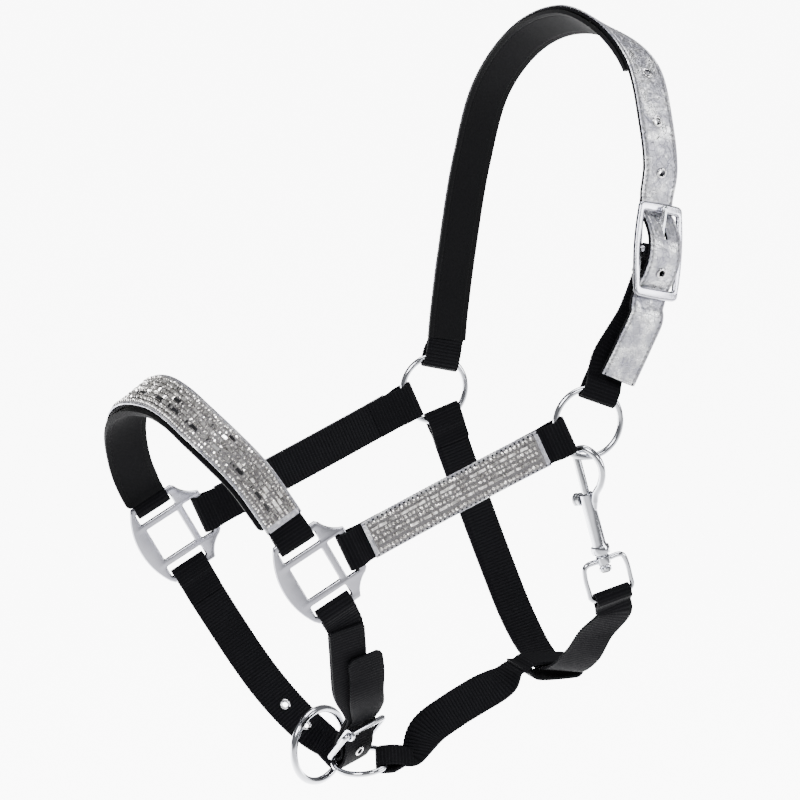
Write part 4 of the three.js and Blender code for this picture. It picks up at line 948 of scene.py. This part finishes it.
tongue_mesh = wire_sweep(
    [in_buckle(a, o) for a, o in ((2.2, -3.1), (-1.6, -3.4), (-3.8, -0.6), (-2.4, 2.7), (1.5, 3.6),
                                  (9, 3.4),
                                  (17, 3.2), (23, 3.7), (28.4, 4.2), (29.6, 4.1))],
    [1.35, 1.35, 1.4, 1.6, 1.8, 2.0, 2.1, 2.2, 2.2, 1.2], sides=14, per_span=4)
add_piece("crown_tongue_pin", tongue_mesh, PLATED, "crown_tongue", ["crown_buckle_tongue"])
for node in ("chin_buckle_tongue", "snap_spring"):
    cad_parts[node].material_slots[0].material = PLATED

# ---- Strap below the buckle ---------------------------------------------------------------
# Webbing looped round the near ring and round the buckle's middle bar, where it is cut out
# for the tongue. It lies behind the crownpiece's tail.
billet_away = Vector((0.36, 0, 0.93)).normalized()
billet_width = -NEAR_SIDE.cross(billet_away).normalized()
low_side = 1 if billet_width.dot(BUCKLE_W) > 0 else -1
billet_low = [(p, w * low_side) for p, w in wrapped(NEAR_RING + billet_away * RING_RADIUS, billet_away,
                                                    NEAR_SIDE,
                                                   billet_width, RING_BEND, reach=RING_REACH, fold=24)]
billet_top = wrapped(BUCKLE, (BUCKLE_A * -0.88 - BUCKLE_N * 0.475).normalized(),
                     (BUCKLE_N * 0.88 - BUCKLE_A * 0.475).normalized(), BUCKLE_W, bend_round(BUCKLE_BAR),
                     fold=17, neck=8)
billet_line = StrapLine([
    *billet_low,
    *laid([(-5, -80, -217, 0.94, 0.03, -0.33), (3, -79.5, -204, 0.94, 0.07, -0.3),
           (12, -80, -189, 0.94, 0.14, -0.28), (17, -80.5, -176, 0.93, 0.2, -0.27)]),
    *billet_top[::-1],
])
billet_hole = billet_line.nearest(BUCKLE + BUCKLE_A * 3.05 * MM)
strap_piece("buckle_strap", billet_line, NYLON, ["crown_buckle_strap"], across=14,
            holes=[(billet_hole, 6 * MM, 2.7 * MM)])

# ---- Chin buckle --------------------------------------------------------------------------
# A plain rectangular buckle bent from round wire. The near chin strap is sewn round its lower
# bar; the far strap comes up through it.
CHIN_F, CHIN_M, CHIN_N = right_angled((0.87, 0.44, 0.2), (0.12, -0.73, 0.666))
HEEL = spot(-158, 4, -489)


def in_chin(m, n, f=0.0):
    return HEEL + CHIN_M * (m * MM) + CHIN_N * (n * MM) + CHIN_F * (f * MM)


def squared(half, length, r):
    """Points round the buckle's wire, with round corners."""
    return [in_chin(y + length / 2, 0, x) for x, y in rounded(-half, half, -length / 2, length / 2, r, 3)]


chin_ring = squared(18.5, 28, 3.2)
chin_mesh = wire_sweep(chin_ring + [chin_ring[0]], [1.95], closed=True, per_span=3)
add_piece("chin_buckle_wire", chin_mesh, PLATED, replaced=["chin_buckle_frame"])

# ---- Near chin strap ----------------------------------------------------------------------
# Webbing from the near square's lower slot down to the chin buckle, round its lower bar, and
# back up outside itself, where its end is sewn down.
HEEL_BEND = bend_round(1.8 * math.sqrt(2))
near_chin_loop = wrapped(NEAR_SQUARE - RISE * OUTER_BAR, -RISE, NEAR_SIDE, REAR, SQUARE_FOLD, reach=2,
                         fold=16)
down = laid([(-183, -70, -385, 0.95, 0.05, 0.3), (-179, -61, -405, 0.98, 0.1, 0.2),
             (-173, -46, -432, 0.97, 0.2, 0.2)])
down += [(in_chin(*row), CHIN_F.copy()) for row in ((38, -10, -2), (28, -9), (14, -7), (4, -HEEL_BEND))]
down_points = curve_through([p for p, _ in down], 3)
down_run = []
for k, point in enumerate(down_points):
    span = min(k // 3, len(down) - 2)
    down_run.append((point, down[span][1].lerp(down[span + 1][1], k / 3 - span).normalized()))
turn_run = [(in_chin(-HEEL_BEND * math.cos(math.pi * (k / 6 - 0.5)),
                     HEEL_BEND * math.sin(math.pi * (k / 6 - 0.5))),
             CHIN_F.copy()) for k in range(7)]
back_up = []
inner = [near_chin_loop[-1], *down_run]
for before, here, after in zip(inner, inner[1:], inner[2:]):
    out = (after[0] - before[0]).cross(here[1]).normalized()
    out *= -1 if out.y > 0 else 1
    back_up.append((here[0] + out * (WEB_THICK + LAYER_GAP), here[1]))
up_run = [(in_chin(4, HEEL_BEND), CHIN_F.copy()), (in_chin(12, -1.2), CHIN_F.copy()), *back_up[::-1][4:]]
near_chin_line = StrapLine([*near_chin_loop, *down_run, *turn_run, *up_run])
strap_piece("near_chin_webbing", near_chin_line, NYLON, ["near_chin_strap"], corner=3 * MM)

# ---- Far chin strap -----------------------------------------------------------------------
# Webbing from the far square's lower slot, through the lead ring, round under the link ring
# and the buckle's lower bar, and up over the near strap, with its end left loose.
far_chin_loop = wrapped(FAR_SQUARE - RISE * OUTER_BAR, -RISE, FAR_SIDE, REAR, SQUARE_FOLD, reach=2, fold=22)
far_chin_run = laid([
    (-242, 66, -387, 0.87, 0, 0.49), (-229, 64, -409, 0.85, 0.1, 0.5), (-216, 58, -431, 0.8, 0.15, 0.58),
    (-204, 48, -450, 0.75, 0.2, 0.62), (-192, 36, -466, 0.74, 0.25, 0.6), (-179, 24, -480, 0.78, 0.32, 0.5),
])
far_chin_run += [(in_chin(*row), CHIN_F.copy()) for row in (
    (-13, -14, -2), (-14.2, -5), (-13, 2), (-8.8, 6.9), (-2, 8), (8, 6), (18, 0.8), (28, -3.5),
    (36, -4.4, 1))]
far_chin_run += laid([(-161, -47, -440, 0.97, 0.2, 0.2), (-164, -57, -422, 0.98, 0.1, 0.22),
                      (-168, -64.5, -407, 0.96, 0.08, 0.26)])
far_chin_line = StrapLine([*far_chin_loop, *far_chin_run])
chin_eyelets = []
for number in (1, 2, 3):
    low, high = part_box(f"chin_eyelet_{number}")
    middle = (Vector(low) + Vector(high)) / 2
    at = far_chin_line.nearest(middle)
    side = far_chin_line.normals[round(at / far_chin_line.step)]
    sign = 1 if (middle - far_chin_line.points[round(at / far_chin_line.step)]).dot(side) > 0 else -1
    chin_eyelets.append((number, at, sign))
strap_piece("far_chin_webbing", far_chin_line, NYLON, ["far_chin_strap"], corner=5.5 * MM,
            across=18,
            holes=[(at, 2.5 * MM, 2.5 * MM) for _, at, _ in chin_eyelets])
for number, at, sign in chin_eyelets:
    eyelet(f"chin_eyelet_ring_{number}", far_chin_line, at, 1.15, -1.15, sign)

# ---- Lead ring and link ring --------------------------------------------------------------
# Round plated wire rings. The lead ring hangs in the chin strap; the link ring lies in the
# strap's bend and carries the strap that runs back to the throat.
LEAD_AXIS = Vector((0.5, -0.866, 0))
wire_ring("lead_ring_wire", "lead_ring", "lead_ring", spot(-175, 17, -489), LEAD_AXIS, 25 * MM, 2.6 * MM)
LINK_RADIUS = 19 * MM
LINK_WIRE = 2.0 * MM
link_in = right_angled(CHIN_F, (0.45, -0.85, -0.09))[1]
LINK_RING = in_chin(-9.5, -1.4) + link_in * LINK_RADIUS
link_normal = CHIN_F.cross(link_in).normalized()
wire_ring("link_ring_wire", "link_ring", "link_ring", LINK_RING, link_normal, LINK_RADIUS, LINK_WIRE)

# ---- Snap ---------------------------------------------------------------------------------
# A bolt snap in cast and plated metal. A hooked body with a barrel holds a sprung bolt with a
# grooved thumb knob; below the collar it turns on a stem in the boss of a squared eye.
SNAP_A, SNAP_E, _ = right_angled((-0.27, 0, 0.963), (0.963, 0, 0.27))
hook_turn = math.radians(50)
SNAP_L = SNAP_E * math.cos(hook_turn) + NEAR_SIDE * math.sin(hook_turn)
SNAP_Q = SNAP_L.cross(SNAP_A)
BARREL_TOP = NEAR_RING - Vector((0, 0, 1)) * RING_RADIUS - SNAP_L * 8.5 * MM - SNAP_A * 25 * MM
BARREL_LENGTH = 42


def in_snap(l, a, q=0.0):
    return BARREL_TOP + SNAP_L * (l * MM) + SNAP_A * (a * MM) + SNAP_Q * (q * MM)


snap_turn = Matrix((SNAP_L, SNAP_Q, SNAP_A)).transposed().to_4x4()


def turned(profile, steps=32):
    """A closed profile of (radius, height) spun about the snap's own axis; a bmesh."""
    mesh = bmesh.new()
    verts = [mesh.verts.new((x * MM, 0, z * MM)) for x, z in profile]
    closed = profile[0][0] > 0 and profile[-1][0] > 0
    edges = [mesh.edges.new((a, b)) for a, b in zip(verts, verts[1:] + (verts[:1] if closed else []))]
    bmesh.ops.spin(mesh, geom=verts + edges, cent=(0, 0, 0), axis=(0, 0, 1), angle=2 * math.pi, steps=steps,
                   use_merge=True)
    bmesh.ops.remove_doubles(mesh, verts=mesh.verts, dist=1e-6)
    bmesh.ops.recalc_face_normals(mesh, faces=mesh.faces)
    return mesh


def sharpen(mesh):
    """Smooth faces that keep a crisp edge wherever they meet at more than 32 degrees."""
    smooth_faces(mesh)
    for edge in mesh.edges:
        if len(edge.link_faces) == 2 and edge.calc_face_angle() > math.radians(32):
            edge.smooth = False
    return mesh


B = BARREL_LENGTH
barrel = turned([(3.3, 0), (4.2, 0), (4.7, -0.5), (4.7, -B + 6.5), (5.0, -B + 5), (6.1, -B + 4.2),
                 (6.4, -B + 3),
                 (6.4, -B + 0.6), (6.0, -B - 0.6), (4.2, -B - 1), (2.0, -B - 1), (2.0, -B - 10.2),
                 (3.7, -B - 10.4),
                 (4.2, -B - 11), (4.2, -B - 12.8), (3.4, -B - 13.8), (0, -B - 14), (0, -30), (3.3, -30)])
bmesh.ops.transform(barrel, matrix=Matrix.Translation(BARREL_TOP) @ snap_turn, verts=barrel.verts)
add_piece("snap_barrel", sharpen(barrel), PLATED, "snap", ["snap_body"])
hook = wire_sweep([in_snap(l, a) for l, a in ((3.6, -12), (5, -6), (7.2, -1), (12.5, 5), (16, 12),
                                              (16.6, 19),
                                              (14, 26), (8.6, 30.4), (3, 30.8), (-0.6, 28.6))],
                  [1.6, 2.6, 2.6, 2.5, 2.4, 2.4, 2.5, 2.6, 2.7, 2.3], sides=20)
add_piece("snap_hook", hook, PLATED, "snap")

steel = Finish("plated_steel", metallic=1.0)
brushed = steel.noise(1400, 3, stretch=(1, 1, 0.15))
steel.colour(steel.mix(brushed, (0.5, 0.51, 0.54, 1), (0.66, 0.67, 0.69, 1)))
steel.rough(0.14 + brushed * 0.12)
steel.bump(brushed, 0.05 * MM)
STEEL = steel.material
bolt = turned([(0, 27), (1.6, 27), (2.4, 26.4), (2.7, 25.4), (2.7, -16.5), (2.2, -17), (0, -17)])
bmesh.ops.transform(bolt, matrix=Matrix.Translation(BARREL_TOP) @ snap_turn, verts=bolt.verts)
add_piece("snap_bolt_pin", sharpen(bolt), STEEL, "snap_bolt", ["snap_bolt"])
knob = turned([(0, 0), (1.3, 0), (1.3, 3.4), (3.9, 3.5), (4.4, 3.9), (4.4, 5.0), (3.6, 5.5), (3.6, 6.3),
               (4.4, 6.8),
               (4.4, 8.0), (3.9, 8.6), (0, 8.8)], 28)
knob_turn = Matrix((SNAP_A, SNAP_Q, -SNAP_L)).transposed().to_4x4()
bmesh.ops.transform(knob, matrix=Matrix.Translation(in_snap(-1, -4)) @ knob_turn, verts=knob.verts)
add_piece("snap_thumb_knob", sharpen(knob), STEEL, "snap_bolt")

EYE_TOP = -B - 5.6
EYE_DROP = 25
EYE_HALF = 15.4
eye_points = [(-4, 0), (-EYE_HALF + 4, -0.1), (-EYE_HALF + 1.4, -1.6), (-EYE_HALF, -8), (-EYE_HALF, -18),
              (-EYE_HALF + 0.2, -EYE_DROP + 2.2), (-EYE_HALF + 2.4, -EYE_DROP), (0, -EYE_DROP),
              (EYE_HALF - 2.4, -EYE_DROP), (EYE_HALF - 0.2, -EYE_DROP + 2.2), (EYE_HALF, -18),
              (EYE_HALF, -8),
              (EYE_HALF - 1.4, -1.6), (EYE_HALF - 4, -0.1), (4, 0)]
eye = wire_sweep([BARREL_TOP + SNAP_E * (x * MM) + SNAP_A * ((EYE_TOP + z) * MM) for x, z in eye_points],
                 [1.9, 1.9, 1.75, 1.7, 1.7, 1.7, 1.7, 1.7, 1.7, 1.7, 1.7, 1.7, 1.75, 1.9, 1.9])
add_piece("snap_eye_bow", eye, PLATED, replaced=["snap_eye"])
boss = turned([(2.5, EYE_TOP - 3.2), (4.0, EYE_TOP - 3.3), (4.7, EYE_TOP - 2.4), (4.9, EYE_TOP),
               (4.7, EYE_TOP + 2.4),
               (4.0, EYE_TOP + 3.3), (2.5, EYE_TOP + 3.2)])
bmesh.ops.transform(boss, matrix=Matrix.Translation(BARREL_TOP) @ snap_turn, verts=boss.verts)
add_piece("snap_eye_boss", sharpen(boss), PLATED)

# ---- Throat strap -------------------------------------------------------------------------
# Webbing from the far ring down under the throat and up to the snap's eye, sewn in a loop at
# both ends.
throat_away = Vector((0.33, 0, -0.944)).normalized()
throat_width = throat_away.cross(FAR_SIDE).normalized()
throat_turn = 1 if throat_width.x > 0 else -1
throat_low = [(p, w * throat_turn) for p, w in wrapped(FAR_RING + throat_away * RING_RADIUS, throat_away,
                                                       FAR_SIDE,
                                                      throat_width, RING_BEND, reach=RING_REACH, fold=17)]
eye_bar = in_snap(0, EYE_TOP - EYE_DROP)
eye_away = (SNAP_A * -0.93 + FAR_SIDE * 0.36).normalized()
eye_out = (SNAP_A * -0.36 + NEAR_SIDE * 0.93).normalized()
throat_high = wrapped(eye_bar, eye_away, eye_out, SNAP_E, bend_round(1.7 * math.sqrt(2)), fold=14,
                      neck=8)[::-1]
throat_run = laid([
    (-60, 76, -296, 0.93, 0.06, 0.33), (-48, 70, -333, 0.93, 0.1, 0.33), (-32, 60, -382, 0.93, 0.12, 0.3),
    (-22, 45, -416, 0.97, 0.1, 0.2), (-15.5, 27, -436, 1, 0.1, 0.03), (-12, 4, -443.5, 1, 0.05, -0.06),
    (-9, -18, -440, 0.98, 0, -0.2), (-5, -38, -426, 0.93, 0, -0.3), (-2, -54, -408, 0.96, 0, -0.1),
])
throat_run.append((eye_bar + eye_away * 16 * MM, Vector((0.98, 0, 0.15)).normalized()))
throat_line = StrapLine([*throat_low, *throat_run, *throat_high])
strap_piece("throat_webbing", throat_line, NYLON, ["throat_strap"])

# ---- Connecting strap ---------------------------------------------------------------------
# Webbing from the link ring back to the throat strap, which runs through a flat loop at its
# end.
link_away = right_angled(link_normal, (0.95, -0.3, 0.1))[1]
link_bar = LINK_RING + link_away * LINK_RADIUS
link_out = link_normal * (1 if link_normal.z < 0 else -1)
link_width = link_away.cross(link_out).normalized()
link_turn = 1 if link_width.y > 0 else -1
link_loop = [(p, w * link_turn) for p, w in wrapped(link_bar, link_away, link_out, link_width,
                                                    bend_round(LINK_WIRE / MM),
                                                   reach=5.6, fold=16)]
throat_dir, throat_across, throat_up = right_angled((0.1, -1, -0.03), (-1, 0, 0.06))
loop_at = spot(-12, 5, -443.5) + throat_across * 13.6 * MM
throat_loop = wrapped(loop_at, throat_across, throat_up, -throat_dir, 5.2, reach=27.6, fold=14)[::-1]
link_line = StrapLine([
    *link_loop, (link_bar + link_away * 15 * MM, Vector((0, 1, 0.1)).normalized()),
    *laid([(-106, -8, -478, -0.3, 0.6, 0.74), (-88, -6, -467, -0.45, 0.25, 0.85),
           (-68, -3, -458, -0.4, 0.4, 0.8), (-48, 1, -450, -0.2, 0.8, 0.5)]),
    (loop_at + throat_across * 14 * MM, Vector((0, 1, 0.05)).normalized()),
    *throat_loop,
])
strap_piece("connecting_webbing", link_line, NYLON, ["connecting_strap"])
